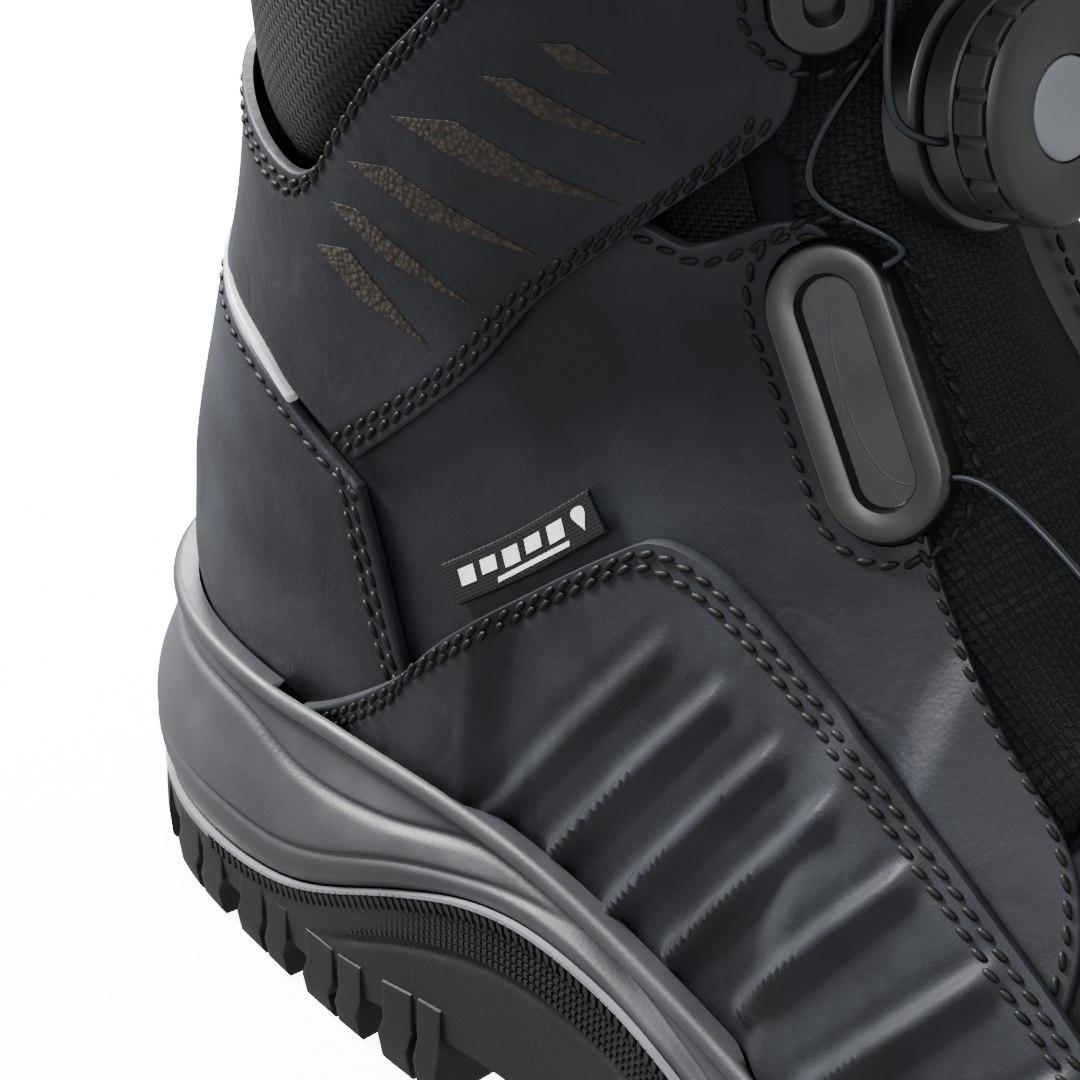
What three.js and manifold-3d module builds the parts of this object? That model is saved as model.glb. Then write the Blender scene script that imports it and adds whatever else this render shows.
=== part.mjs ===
// Steel toe work boot, right foot, with a dial closure.
// Millimetres, +Z up, toe towards +X, outer (lateral) side towards -Y.
// The upper is laid on a lofted last. Its seams are drawn in side view on the base size
// and graded with the last, while leather, gaps, hardware and sole walls keep their own sizes.
import * as THREE from 'three';
import { mergeVertices } from 'three/addons/utils/BufferGeometryUtils.js';
import Module from 'manifold-3d';

const wasm = await Module();
wasm.setup();

// ---------------------------------------------------------------- driving dimensions
const lastLength = 302;        // heel curve to toe tip, inside the leather
const ballWidth = 104;         // across the ball of the last
const upperHeight = 191;       // underside of the ball to the top line at the front
const ballStack = 23;          // ground to the underside of the ball
const leather = 1.6;           // thickness of every leather panel
const plyGap = 0.6;            // clearance between stacked layers
const capWall = 1.6;           // steel toe cap and heel stiffener
const liningWall = 1.3;        // membrane bootie
const boardWall = 1.8;         // insole board
const plateWall = 0.9;         // puncture plate
const footbedWall = 4.2;
const tonguePad = 5.4;         // padded tongue
const collarPad = 6.4;         // padded collar, behind its face
const rimBead = 3.4;           // width of the midsole's rounded rim
const soleFlare = 3.0;         // how far the sole wall stands out at the heel
const outsoleWall = 3.0;       // rubber wall and floor
const lugLength = 13;
const lugGap = 5;
const dialRadius = 15;
const dialHeight = 13.5;
const dialHeightOnUpper = 168; // place of the dial on the front line, base size
const cableDiameter = 1.2;
const guideLength = 40;
const guideWidth = 17;
const guideHeight = 5.4;
const flangeWall = 1.0;         // stitched flange of a guide, under the leather's edge
const touch = 0.3;             // clearance between pieces that touch

const ply = leather + plyGap;  // pitch of the leather layers

// ---------------------------------------------------------------- the last
// Each section is a closed curve in a plane across the boot, from B, its lowest or rearmost
// point, to T, its highest or foremost one. Base size: length 302, ball 104, height 191.
const baseLength = 302;
const baseWidth = 104;
const baseHeight = 191;
const baseStack = 23;
// Bx, Bz, Tx, Tz, half width lateral and medial, sideways shift, fullness, corner powers
const sections = [
  [302, 30, 302, 38, 0.2, 0.2, 7.0, 0.45, 2.6, 2.2],
  [299, 27, 299, 51, 18, 16, 6.6, 0.40, 2.8, 2.2],
  [290, 25, 290, 65, 33, 29, 6.0, 0.36, 3.0, 2.3],
  [272, 24, 272, 76, 45, 40, 5.0, 0.34, 3.2, 2.4],
  [245, 23, 245, 80, 51, 47, 3.5, 0.32, 3.4, 2.3],
  [210, 23, 212, 88, 53, 49, 1.5, 0.32, 3.4, 2.1],
  [170, 24, 183, 103, 49, 45, 0.0, 0.34, 3.2, 2.0],
  [128, 26, 162, 120, 43, 39, 0.0, 0.36, 3.0, 2.0],
  [85, 29, 148, 135, 39, 36.5, 0.0, 0.36, 3.0, 2.0],
  [42, 32, 140, 145, 38, 36.5, 0.0, 0.36, 2.8, 2.0],
  [9, 38, 135, 154, 37.5, 36.5, 0.0, 0.38, 2.5, 2.0],
  [3, 62, 131, 164, 37.5, 36.5, 0.0, 0.40, 2.3, 2.0],
  [7.5, 90, 128, 174, 38.5, 37.5, 0.0, 0.42, 2.2, 2.0],
  [13, 118, 125.5, 184, 40, 39, 0.0, 0.44, 2.1, 2.1],
  [14, 145, 123.5, 194, 41.5, 41, 0.0, 0.46, 2.1, 2.1],
  [11.5, 170, 122, 204, 43, 42.5, 0.0, 0.47, 2.1, 2.1],
  [8, 195, 121, 214, 44.5, 44, 0.0, 0.48, 2.1, 2.1],
  [4.5, 220, 120, 224, 46, 45.5, 0.0, 0.48, 2.1, 2.1],
];
const heelSection = 10;        // the first section whose B lies on the back line
const lastSection = sections.length - 1;
const acrossColumns = new Set([0, 2]);   // Bx and Tx level off at the toe tip

const grade = {
  x: (x) => x * lastLength / baseLength,
  y: (y) => y * ballWidth / baseWidth,
  z: (z) => ballStack + (z - baseStack) * upperHeight / baseHeight,
};

function sectionAt(t) {
  const i = Math.min(Math.max(Math.floor(t), 0), lastSection - 1);
  const f = t - i;
  return sections[i].map((p1, column) => {
    const p2 = sections[i + 1][column];
    const mirrored = acrossColumns.has(column) ? p2 : 2 * p1 - p2;
    const p0 = i > 0 ? sections[i - 1][column] : mirrored;
    const p3 = i + 2 <= lastSection ? sections[i + 2][column] : 2 * p2 - p1;
    const d1 = (p2 - p0) / 2;
    const d2 = (p3 - p1) / 2;
    const a = 2 * (p1 - p2) + d1 + d2;
    const b = 3 * (p2 - p1) - 2 * d1 - d2;
    return ((a * f + b) * f + d1) * f + p1;
  });
}

// Angle a runs from 0 at B over the medial side to PI at T, and back over the lateral side.
const unturn = (a) => a - 2 * Math.PI * Math.round(a / (2 * Math.PI));

function lastPoint(t, a) {
  const [bx, bz, tx, tz, lateral, medial, shift, full, lower, upper] = sectionAt(t);
  const turn = unturn(a);
  const c = Math.cos(turn);
  const s = Math.abs(Math.sin(turn));
  const power = 2 / (c > 0 ? lower : upper);
  const round = Math.abs(c) ** power;
  const g = c > 0 ? full * (1 - round) : full + (1 - full) * round;
  const y = shift + (turn < 0 ? -lateral : medial) * s ** power;
  return new THREE.Vector3(grade.x(bx + (tx - bx) * g), grade.y(y), grade.z(bz + (tz - bz) * g));
}

function lastNormal(t, a) {
  const dt = 0.03;
  const da = 0.05;
  const alongT = lastPoint(Math.min(t + dt, lastSection), a);
  alongT.sub(lastPoint(Math.max(t - dt, 0), a));
  const alongA = lastPoint(t, a + da).sub(lastPoint(t, a - da));
  return alongT.cross(alongA).normalize();
}

const onLast = (t, a, off = 0) => lastPoint(t, a).addScaledVector(lastNormal(t, a), off);

function bisect(low, high, f) {
  const rising = f(high) > f(low);
  for (let n = 0; n < 40; n += 1) {
    const mid = (low + high) / 2;
    if (f(mid) > 0 === rising) {
      high = mid;
    } else {
      low = mid;
    }
  }
  return (low + high) / 2;
}

// The place on the medial half that a side-view point (x, z) of the base size stands for.
function placeAt(x, z) {
  const across = (t) => {
    const [bx, bz, tx, tz] = sectionAt(t);
    return (tx - bx) * (z - bz) - (tz - bz) * (x - bx);
  };
  let best = null;
  const step = 0.1;
  for (let t = 0; t < lastSection; t += step) {
    if (across(t) > 0 !== across(t + step) > 0) {
      const root = bisect(t, t + step, across);
      const [bx, bz, tx, tz] = sectionAt(root);
      const g = ((x - bx) * (tx - bx) + (z - bz) * (tz - bz)) / ((tx - bx) ** 2 + (tz - bz) ** 2);
      const outside = Math.max(0, -g, g - 1);
      if (!best || outside < best.outside) {
        best = { t: root, g, outside };
      }
    }
  }
  const [, , , , , , , full, lower, upper] = sectionAt(best.t);
  const g = Math.min(Math.max(best.g, 0), 1);
  const a = g <= full
    ? Math.acos(Math.min(1, (1 - g / full) ** (lower / 2)))
    : Math.PI - Math.acos(Math.min(1, ((g - full) / (1 - full)) ** (upper / 2)));
  return [best.t, a];
}
const backLine = (z) => [bisect(heelSection, lastSection, (t) => sectionAt(t)[1] - z), 0];
const frontLine = (z) => [bisect(0, lastSection, (t) => sectionAt(t)[3] - z), Math.PI];

// ---------------------------------------------------------------- seams and panels
const inside = 1;   // medial
const outside = -1; // lateral

// A seam is a dense row of [t, a] places. Its points are side-view [x, z] pairs of the base
// size; ends may be places on the back or front line, given as { place }.
function seam(side, points, dense = 60) {
  const marks = points.map((p) => {
    if (!p.place) {
      return new THREE.Vector2(...p);
    }
    const [t, a] = p.place;
    const [bx, bz, tx, tz] = sectionAt(t);
    return a === 0 ? new THREE.Vector2(bx, bz) : new THREE.Vector2(tx, tz);
  });
  const curve = new THREE.SplineCurve(marks);
  const startsAtLine = Boolean(points[0].place);
  const endsAtLine = Boolean(points.at(-1).place);
  const row = [];
  for (let n = 0; n <= dense; n += 1) {
    let f = n / dense;
    if (startsAtLine) {
      f = f ** 2;
    }
    if (endsAtLine) {
      f = 1 - (1 - f) ** 2;
    }
    const p = curve.getPoint(f);
    row.push(placeAt(p.x, p.y));
  }
  if (startsAtLine) {
    row[0] = points[0].place;
  }
  if (endsAtLine) {
    row[dense] = points.at(-1).place;
  }
  return row.map(([t, a]) => [t, a * side]);
}

// Joins a half seam to its mirror image, over the back line or over the front line.
const overBack = (half) => [...half.map(([t, a]) => [t, -a]), ...half.slice(0, -1).reverse()];
const overFront = (half) => [
  ...half,
  ...half.slice(0, -1).reverse().map(([t, a]) => [t, 2 * Math.PI - a]),
];

function evenly(row, count) {
  const points = row.map(([t, a]) => lastPoint(t, a));
  const run = [0];
  for (let n = 1; n < points.length; n += 1) {
    run.push(run[n - 1] + points[n].distanceTo(points[n - 1]));
  }
  const result = [];
  let k = 1;
  for (let n = 0; n <= count; n += 1) {
    const goal = run.at(-1) * n / count;
    while (k < row.length - 1 && run[k] < goal) {
      k += 1;
    }
    const f = (goal - run[k - 1]) / (run[k] - run[k - 1] || 1);
    result.push([0, 1].map((c) => row[k - 1][c] + (row[k][c] - row[k - 1][c]) * f));
  }
  return result;
}

// Fills four seams with a grid of places (a Coons patch).
function fill({ south, north, west, east }, columns, rows) {
  const s = evenly(south, columns);
  const n = evenly(north, columns);
  const w = evenly(west, rows);
  const e = evenly(east, rows);
  const grid = [];
  for (let i = 0; i <= columns; i += 1) {
    const u = i / columns;
    grid.push([]);
    for (let j = 0; j <= rows; j += 1) {
      const v = j / rows;
      grid[i].push([0, 1].map((c) => (1 - v) * s[i][c] + v * n[i][c]
        + (1 - u) * w[j][c] + u * e[j][c]
        - (1 - u) * (1 - v) * s[0][c] - u * (1 - v) * s[columns][c]
        - (1 - u) * v * n[0][c] - u * v * n[columns][c]));
    }
  }
  return grid;
}

function closedGeometry(points, faces) {
  let volume = 0;
  for (const [a, b, c] of faces) {
    volume += points[a].dot(points[b].clone().cross(points[c]));
  }
  const outward = volume > 0 ? faces : faces.map(([a, b, c]) => [a, c, b]);
  const geometry = new THREE.BufferGeometry();
  geometry.setAttribute('position', new THREE.Float32BufferAttribute(
    points.flatMap((p) => [p.x, p.y, p.z]), 3));
  geometry.setIndex(outward.flat());
  return geometry;
}

// A grid of places becomes a closed sheet between two offsets, which may vary over the grid.
function sheet(grid, inner, outer) {
  const columns = grid.length - 1;
  const rows = grid[0].length - 1;
  const value = (offset, u, v, place) => (
    typeof offset === 'function' ? offset(u, v, place) : offset);
  const points = [];
  for (const offset of [inner, outer]) {
    grid.forEach((line, i) => line.forEach(([t, a], j) => {
      points.push(onLast(t, a, value(offset, i / columns, j / rows, [t, a])));
    }));
  }
  const id = (layer, i, j) => (layer * (columns + 1) + i) * (rows + 1) + j;
  const faces = [];
  const quad = (a, b, c, d) => faces.push([a, b, c], [a, c, d]);
  for (let i = 0; i < columns; i += 1) {
    for (let j = 0; j < rows; j += 1) {
      quad(id(1, i, j), id(1, i + 1, j), id(1, i + 1, j + 1), id(1, i, j + 1));
      quad(id(0, i, j + 1), id(0, i + 1, j + 1), id(0, i + 1, j), id(0, i, j));
    }
    quad(id(0, i, 0), id(0, i + 1, 0), id(1, i + 1, 0), id(1, i, 0));
    quad(id(1, i, rows), id(1, i + 1, rows), id(0, i + 1, rows), id(0, i, rows));
  }
  for (let j = 0; j < rows; j += 1) {
    quad(id(0, 0, j + 1), id(0, 0, j), id(1, 0, j), id(1, 0, j + 1));
    quad(id(1, columns, j + 1), id(1, columns, j), id(0, columns, j), id(0, columns, j + 1));
  }
  return closedGeometry(points, faces);
}

// Closed rings are joined one after the other; the two ends are closed straight across,
// each point to the one opposite it.
function loft(rings) {
  const count = rings[0].length;
  const faces = [];
  rings.slice(1).forEach((ring, k) => {
    for (let i = 0; i < count; i += 1) {
      const next = (i + 1) % count;
      const [a, b] = [k * count + i, k * count + next];
      faces.push([a, b, b + count], [a, b + count, a + count]);
    }
  });
  const close = (base, flip) => {
    for (let i = 0; i < count / 2; i += 1) {
      const [a, b] = [base + i, base + i + 1];
      const [c, d] = [base + count - i - 1, base + (count - i) % count];
      const pair = [[a, b, c], [a, c, d]].filter((f) => new Set(f).size === 3);
      faces.push(...pair.map((f) => (flip ? f : [f[0], f[2], f[1]])));
    }
  };
  close(0, false);
  close((rings.length - 1) * count, true);
  return closedGeometry(rings.flat(), faces);
}

// ---------------------------------------------------------------- joins and cuts
function solid(geometry) {
  const bare = new THREE.BufferGeometry();
  const source = geometry.clone();
  bare.setAttribute('position', source.getAttribute('position'));
  if (source.index) {
    bare.setIndex(source.index);
  }
  const merged = mergeVertices(bare, 1e-4);
  return new wasm.Manifold(new wasm.Mesh({
    numProp: 3,
    vertProperties: new Float32Array(merged.getAttribute('position').array),
    triVerts: new Uint32Array(merged.index.array),
  }));
}

function shape(manifold) {
  const mesh = manifold.getMesh();
  const geometry = new THREE.BufferGeometry();
  geometry.setAttribute('position', new THREE.BufferAttribute(mesh.vertProperties, 3));
  geometry.setIndex(new THREE.BufferAttribute(mesh.triVerts, 1));
  return geometry;
}
const cut = (body, ...tools) => shape(tools.reduce((s, tool) => s.subtract(solid(tool)), solid(body)));
const common = (body, other) => shape(solid(body).intersect(solid(other)));
const join = (body, ...more) => shape(more.reduce((s, piece) => s.add(solid(piece)), solid(body)));

// ---------------------------------------------------------------- sole outline and levels
function levels(points) {
  const curve = (x, k) => {
    const [x1, z1] = points[k];
    const [x2, z2] = points[k + 1];
    const before = points[Math.max(k - 1, 0)];
    const after = points[Math.min(k + 2, points.length - 1)];
    const h = x2 - x1;
    const f = (x - x1) / h;
    const d1 = (z2 - before[1]) / (x2 - before[0]) * h;
    const d2 = (after[1] - z1) / (after[0] - x1) * h;
    const a = 2 * (z1 - z2) + d1 + d2;
    const b = 3 * (z2 - z1) - 2 * d1 - d2;
    return ((a * f + b) * f + d1) * f + z1;
  };
  return (x) => {
    if (x <= points[0][0]) {
      return points[0][1];
    }
    if (x >= points.at(-1)[0]) {
      return points.at(-1)[1];
    }
    return curve(x, points.findIndex((p, k) => k + 1 < points.length && x <= points[k + 1][0]));
  };
}
// Heights along the boot on the base size, by x.
const rimLevel = levels([[5, 50], [40, 50], [60, 53], [85, 55], [108, 54.5], [146, 49.5],
  [180, 45], [215, 42], [250, 41], [280, 44], [302, 48]]);
const outsoleTop = levels([[0, 14.5], [34, 15.5], [52, 20], [76, 34], [90, 41], [103, 44.5],
  [116, 45], [129, 43.5], [150, 37], [172, 28], [195, 22], [225, 19], [260, 21], [302, 31]]);
const outsoleFloor = levels([[0, 9], [62, 9], [84, 13], [104, 15.5], [122, 14], [146, 9],
  [235, 8.5], [270, 10.5], [302, 18]]);
const roll = levels([[0, 3], [12, 0], [20, 0], [245, 0], [262, 0.4], [285, 4], [302, 9]]);
const groundLevel = (x) => Math.max(0, roll(x));
const lastUnderside = (x) => {
  const t = bisect(0, heelSection, (s) => sectionAt(s)[0] - x);
  return sectionAt(t)[1];
};

// How much leather lies between the last and the sole's rim at x.
const smooth = (from, to, x) => THREE.MathUtils.smoothstep(x, Math.min(from, to), Math.max(from, to));
const overCounter = (x) => 1 - smooth(85, 93, x);
const overVampSeam = (x) => smooth(143, 151, x) * (1 - smooth(194, 202, x));
const sideLayer = (x) => ply * (1 + Math.max(x > 44 ? overCounter(x) : 0, overVampSeam(x)));

// The sole follows the last's edge just under the rim, and lower at the toe, where it is fullest.
const edgeLevel = (x) => rimLevel(x) - 8 * smooth(268, 296, x);
const outlineSteps = 24;
const feather = [];
{
  const heelX = sectionAt(bisect(heelSection, heelSection + 1, (t) => sectionAt(t)[1] - 50))[0];
  const half = (side) => {
    const row = [];
    for (let k = 0; k <= outlineSteps; k += 1) {
      const f = (1 - Math.cos(Math.PI * k / outlineSteps)) / 2;
      const x = heelX + (baseLength - 0.02 - heelX) * f;
      const [t, a] = placeAt(x, edgeLevel(x));
      const p = lastPoint(t, k === 0 || k === outlineSteps ? Math.round(a / Math.PI) * Math.PI : a * side);
      row.push({ x, p: new THREE.Vector2(p.x, p.y) });
    }
    return row;
  };
  feather.push(...half(outside), ...half(inside).slice(1, -1).reverse());
}
const featherNormal = feather.map((_, i) => {
  const before = feather[(i + feather.length - 1) % feather.length].p;
  const after = feather[(i + 1) % feather.length].p;
  const run = after.clone().sub(before);
  return new THREE.Vector2(run.y, -run.x).normalize();
});

// A ring round the sole: off is the distance outside the last's edge, level the height at x.
const ring = (off, level) => feather.map(({ x, p }, i) => {
  const reach = typeof off === 'function' ? off(x) : off;
  const q = p.clone().addScaledVector(featherNormal[i], reach);
  return new THREE.Vector3(q.x, q.y, level(reach < 0 ? Math.min(x, q.x * baseLength / lastLength) : x));
});
const stack = ballStack - baseStack;
const sole = (level, shift = 0) => (x) => level(x) + shift + stack;
const upperSide = (level, shift = 0) => (x) => grade.z(level(x)) + shift;

// ---------------------------------------------------------------- materials and assembly
const finish = {
  leather: [0x26272a, 0.55, 0],
  nubuck: [0x2a2b2e, 0.8, 0],
  textile: [0x141415, 0.9, 0],
  lining: [0x33353a, 0.95, 0],
  midsole: [0x3a3b3e, 0.6, 0],
  rubber: [0x1b1b1d, 0.7, 0],
  moulded: [0x1d1e20, 0.4, 0],
  steel: [0x9a9da1, 0.35, 0.9],
  board: [0xc9c3b2, 0.9, 0],
  foam: [0x55585e, 0.9, 0],
  piping: [0xb9bcc0, 0.5, 0],
  cable: [0x2b2c2f, 0.4, 0.6],
};
const boot = new THREE.Group();
function add(name, look, geometry, parent = boot) {
  const [color, roughness, metalness] = finish[look];
  const mesh = new THREE.Mesh(geometry, new THREE.MeshStandardMaterial({ color, roughness, metalness }));
  mesh.name = name;
  parent.add(mesh);
  return mesh;
}
const sides = [['lateral', outside], ['medial', inside]];

// ---------------------------------------------------------------- sole unit
const cupGap = plyGap + touch;
const cupInner = (x) => leather + sideLayer(x) + cupGap;
const flare = (x) => soleFlare * (1 - smooth(60, 110, x)) + 0.4 * soleFlare * smooth(150, 210, x);
const wallOff = 9.2;
const outsoleInner = wallOff - outsoleWall;

function between(f) {
  return (x) => {
    const low = outsoleTop(x) + stack;
    const high = grade.z(rimLevel(x)) - rimBead - 1.2;
    return low + (high - low) * f;
  };
}
const cupShoulder = (x) => rimLevel(x) - 8 - (rimLevel(x) - 8 - 28) * smooth(272, 290, x);
const midsole = loft([
  ring(1, sole(outsoleFloor, touch)),
  ring(outsoleInner - touch, sole(outsoleFloor, 3)),
  ring(outsoleInner - touch, sole(outsoleTop)),
  ring(wallOff, sole(outsoleTop)),
  ring((x) => wallOff + 0.7 * flare(x), between(0.22)),
  ring((x) => wallOff - 0.4 + flare(x) * 0.8, between(0.5)),
  ring((x) => wallOff - 1.6 + flare(x) * 0.3, between(0.8)),
  ring(7.1, between(1)),
  ring(8.4, upperSide(rimLevel, -rimBead)),
  ring(8.6, upperSide(rimLevel, -rimBead / 2)),
  ring(7.6, upperSide(rimLevel)),
  ring(cupInner, upperSide(rimLevel, -0.5)),
  ring(cupInner, upperSide(cupShoulder)),
  ring(-7, upperSide(lastUnderside, -plateWall - 3 * touch)),
]);
add('midsole', 'midsole', midsole);

const outsoleShell = loft([
  ring(1, sole(outsoleFloor)),
  ring(outsoleInner, sole(outsoleFloor, 2.4)),
  ring(outsoleInner, sole(outsoleTop, -touch)),
  ring((x) => wallOff + 0.6, sole(outsoleTop, -touch)),
  ring((x) => wallOff + 0.9 + 0.2 * flare(x), sole(outsoleTop, -3)),
  ring((x) => wallOff + 0.2 * flare(x), sole(outsoleFloor, 0.5 - outsoleWall / 2)),
  ring(wallOff - 1.5, sole(outsoleFloor, -outsoleWall)),
]);

// Tread: a row of lugs round the edge and chevron lugs inside it.
function treadPoint(k, off) {
  const at = ((k % feather.length) + feather.length) % feather.length;
  const i = Math.floor(at);
  const j = (i + 1) % feather.length;
  const p = feather[i].p.clone().lerp(feather[j].p, at - i);
  const n = featherNormal[i].clone().lerp(featherNormal[j], at - i).normalize();
  const x = feather[i].x + (feather[j].x - feather[i].x) * (at - i);
  p.addScaledVector(n, off);
  return { x: Math.min(x, p.x * baseLength / lastLength), p };
}

function lug(corners) {
  const points = [];
  for (const { x, p } of corners) {
    points.push(new THREE.Vector3(p.x, p.y, outsoleFloor(x) - outsoleWall + 1.2 + stack));
  }
  const middle = corners.reduce((sum, c) => sum.add(c.p), new THREE.Vector2()).divideScalar(corners.length);
  for (const { x, p } of corners) {
    const q = p.clone().lerp(middle, 0.12);
    points.push(new THREE.Vector3(q.x, q.y, groundLevel(x)));
  }
  const count = corners.length;
  const faces = [];
  for (let i = 0; i < count; i += 1) {
    const next = (i + 1) % count;
    faces.push([i, next, next + count], [i, next + count, i + count]);
    if (i > 1) {
      faces.push([0, i, i - 1], [count, count + i - 1, count + i]);
    }
  }
  return closedGeometry(points, faces);
}

const lugs = [];
{
  let k = 0;
  const total = feather.length;
  let travelled = 0;
  let start = 0;
  const pitch = lugLength + lugGap;
  const fine = 0.05;
  let before = treadPoint(0, 0).p;
  while (k < total) {
    k += fine;
    const here = treadPoint(k, 0).p;
    travelled += here.distanceTo(before);
    before = here;
    if (travelled >= lugLength && start !== null) {
      const x = treadPoint((k + start) / 2, 0).x;
      const waist = x > 84 && x < 124;
      if (!waist) {
        const outer = 8.6;
        const depth = x < 60 || x > 250 ? -11 : -15;
        lugs.push(lug([treadPoint(start, outer), treadPoint(k, outer), treadPoint(k, depth),
          treadPoint(start, depth)]));
      }
      start = null;
    }
    if (travelled >= pitch) {
      travelled = 0;
      start = k;
    }
  }
  const chevron = (x, y, half, reach) => lug([[0, 0], [reach, half], [reach + 9, half], [9, 0],
    [reach + 9, -half], [reach, -half]].map(([dx, dy]) => (
    { x: x + dx, p: new THREE.Vector2(grade.x(x + dx), grade.y(y + dy)) })));
  for (const [x, y, half] of [[28, 0, 15], [52, 0, 15], [148, 1, 20], [168, 1, 24], [188, 2, 26],
    [208, 3, 26], [228, 4, 25], [248, 5, 20]]) {
    lugs.push(chevron(x, y, half, half * 0.4));
  }
}
add('outsole', 'rubber', join(outsoleShell, ...lugs));

// ---------------------------------------------------------------- inside the boot
const under = (from, to, spread) => {
  const half = [];
  for (let n = 0; n <= 40; n += 1) {
    half.push([from + (to - from) * n / 40, -spread]);
  }
  return {
    south: half,
    north: half.map(([t]) => [t, spread]),
    west: [[from, -spread], [from, -spread / 2], [from, 0], [from, spread / 2], [from, spread]],
    east: [[to, -spread], [to, -spread / 2], [to, 0], [to, spread / 2], [to, spread]],
  };
};
const innerStart = -plyGap - touch;
const reinforcement = innerStart - capWall;
const boardOuter = -touch;
const boardInner = boardOuter - boardWall;
const bootieOuter = Math.min(reinforcement, boardInner) - 2 * plyGap;
const bootieInner = bootieOuter - liningWall;
add('insole_board', 'board', sheet(fill(under(1.7, 9.6, 0.5), 14, 2), boardInner, boardOuter));
add('puncture_plate', 'steel', sheet(fill(under(2.0, 9.4, 0.45), 14, 2), touch, touch + plateWall));
add('footbed', 'foam', sheet(fill(under(1.5, 9.5, 0.9), 14, 4),
  bootieInner - 2 * plyGap - footbedWall, bootieInner - 2 * plyGap));

const capEnd = 3.3;
const capFlange = 0.62;
const across = (t, from, to, n = 24) => Array.from(
  { length: n + 1 },
  (_, k) => [t, from + (to - from) * k / n],
);
const along = (a, from, to, n = 24) => Array.from(
  { length: n + 1 },
  (_, k) => [from + (to - from) * k / n, a],
);
const round = 2 * Math.PI;
add('toe_cap', 'steel', sheet(fill({
  south: along(capFlange, 0.02, capEnd),
  north: along(round - capFlange, 0.02, capEnd),
  west: across(0.02, capFlange, round - capFlange),
  east: across(capEnd, capFlange, round - capFlange),
}, 7, 14), reinforcement, innerStart));
add('toe_cap_strip', 'foam', sheet(fill({
  south: along(1.15, capEnd + 0.03, capEnd + 0.3),
  north: along(round - 1.15, capEnd + 0.03, capEnd + 0.3),
  west: across(capEnd + 0.03, 1.15, round - 1.15),
  east: across(capEnd + 0.3, 1.15, round - 1.15),
}, 1, 14), reinforcement, innerStart));

const counterHalf = (points) => overBack(seam(inside, points));
add('heel_stiffener', 'board', sheet(fill({
  south: counterHalf([[72, 50], [40, 49], { place: backLine(51) }]),
  north: counterHalf([[46, 84], [30, 90], { place: backLine(94) }]),
  west: seam(outside, [[72, 50], [62, 66], [46, 84]]),
  east: seam(inside, [[72, 50], [62, 66], [46, 84]]),
}, 18, 4), reinforcement, innerStart));

// Bootie: rings across the last from the toe to the top, deeper under the collar and tongue.
const padRoom = Math.max(tonguePad + flangeWall + 2 * plyGap, collarPad) + 3 * plyGap;
const bootieDepth = (t, a) => {
  const collarZone = smooth(11.6, 13, t);
  const tongueZone = smooth(2.2, 2.7, Math.abs(unturn(a))) * smooth(3.9, 4.9, t);
  return (padRoom + bootieOuter) * Math.max(collarZone, tongueZone);
};
{
  const count = 20;
  const stations = [0.02, 1, 2, 3, 4, 5.2, 6.4, 7.6, 8.8, 9.5, 10.2, 11, 12, 13, 15.8];
  const bootieRing = (t, start) => Array.from({ length: count }, (_, k) => {
    const a = round * k / count;
    return onLast(t, a, start - bootieDepth(t, a));
  });
  add('membrane_bootie', 'lining', loft([
    ...stations.slice(1).map((t) => bootieRing(t, bootieInner)),
    ...stations.toReversed().map((t) => bootieRing(t, bootieOuter)),
  ]));
}

// ---------------------------------------------------------------- upper panels
const tongueTop = -3 * plyGap - flangeWall;   // the tongue lies under the guides' flanges
const margin = (x) => [x, rimLevel(x) - 5.5];
const marginRow = (...xs) => xs.map(margin);

// vamp: over the toe, from side to side
const vampRear = [margin(170), [168, 62], [172, 80], [180, 94], { place: frontLine(101) }];
const vampHalfSouth = seam(inside, marginRow(301.9, 299, 290, 272, 245, 215, 190, 170));
const vampEast = overFront(seam(inside, vampRear));
add('vamp', 'leather', sheet(fill({
  south: vampHalfSouth,
  north: vampHalfSouth.map(([t, a]) => [t, round - a]),
  west: across(vampHalfSouth[0][0], vampHalfSouth[0][1], round - vampHalfSouth[0][1]),
  east: vampEast,
}, 13, 13), 0, leather));

const scuffSouth = seam(inside, marginRow(301.9, 299, 290, 272, 250));
add('scuff_cap', 'rubber', sheet(fill({
  south: scuffSouth,
  north: scuffSouth.map(([t, a]) => [t, round - a]),
  west: across(scuffSouth[0][0], scuffSouth[0][1], round - scuffSouth[0][1]),
  east: overFront(seam(inside, [margin(250), [262, 58], [271, 70], { place: frontLine(74) }])),
}, 9, 13), ply, ply + leather));

const quarterLift = (u, v, [t, a]) => {
  const x = lastPoint(t, a).x * baseLength / lastLength;
  return (ply + touch / 2) * smooth(153, 161, x);
};
const raised = (lift, extra) => (u, v, place) => lift(u, v, place) + extra;

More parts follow.
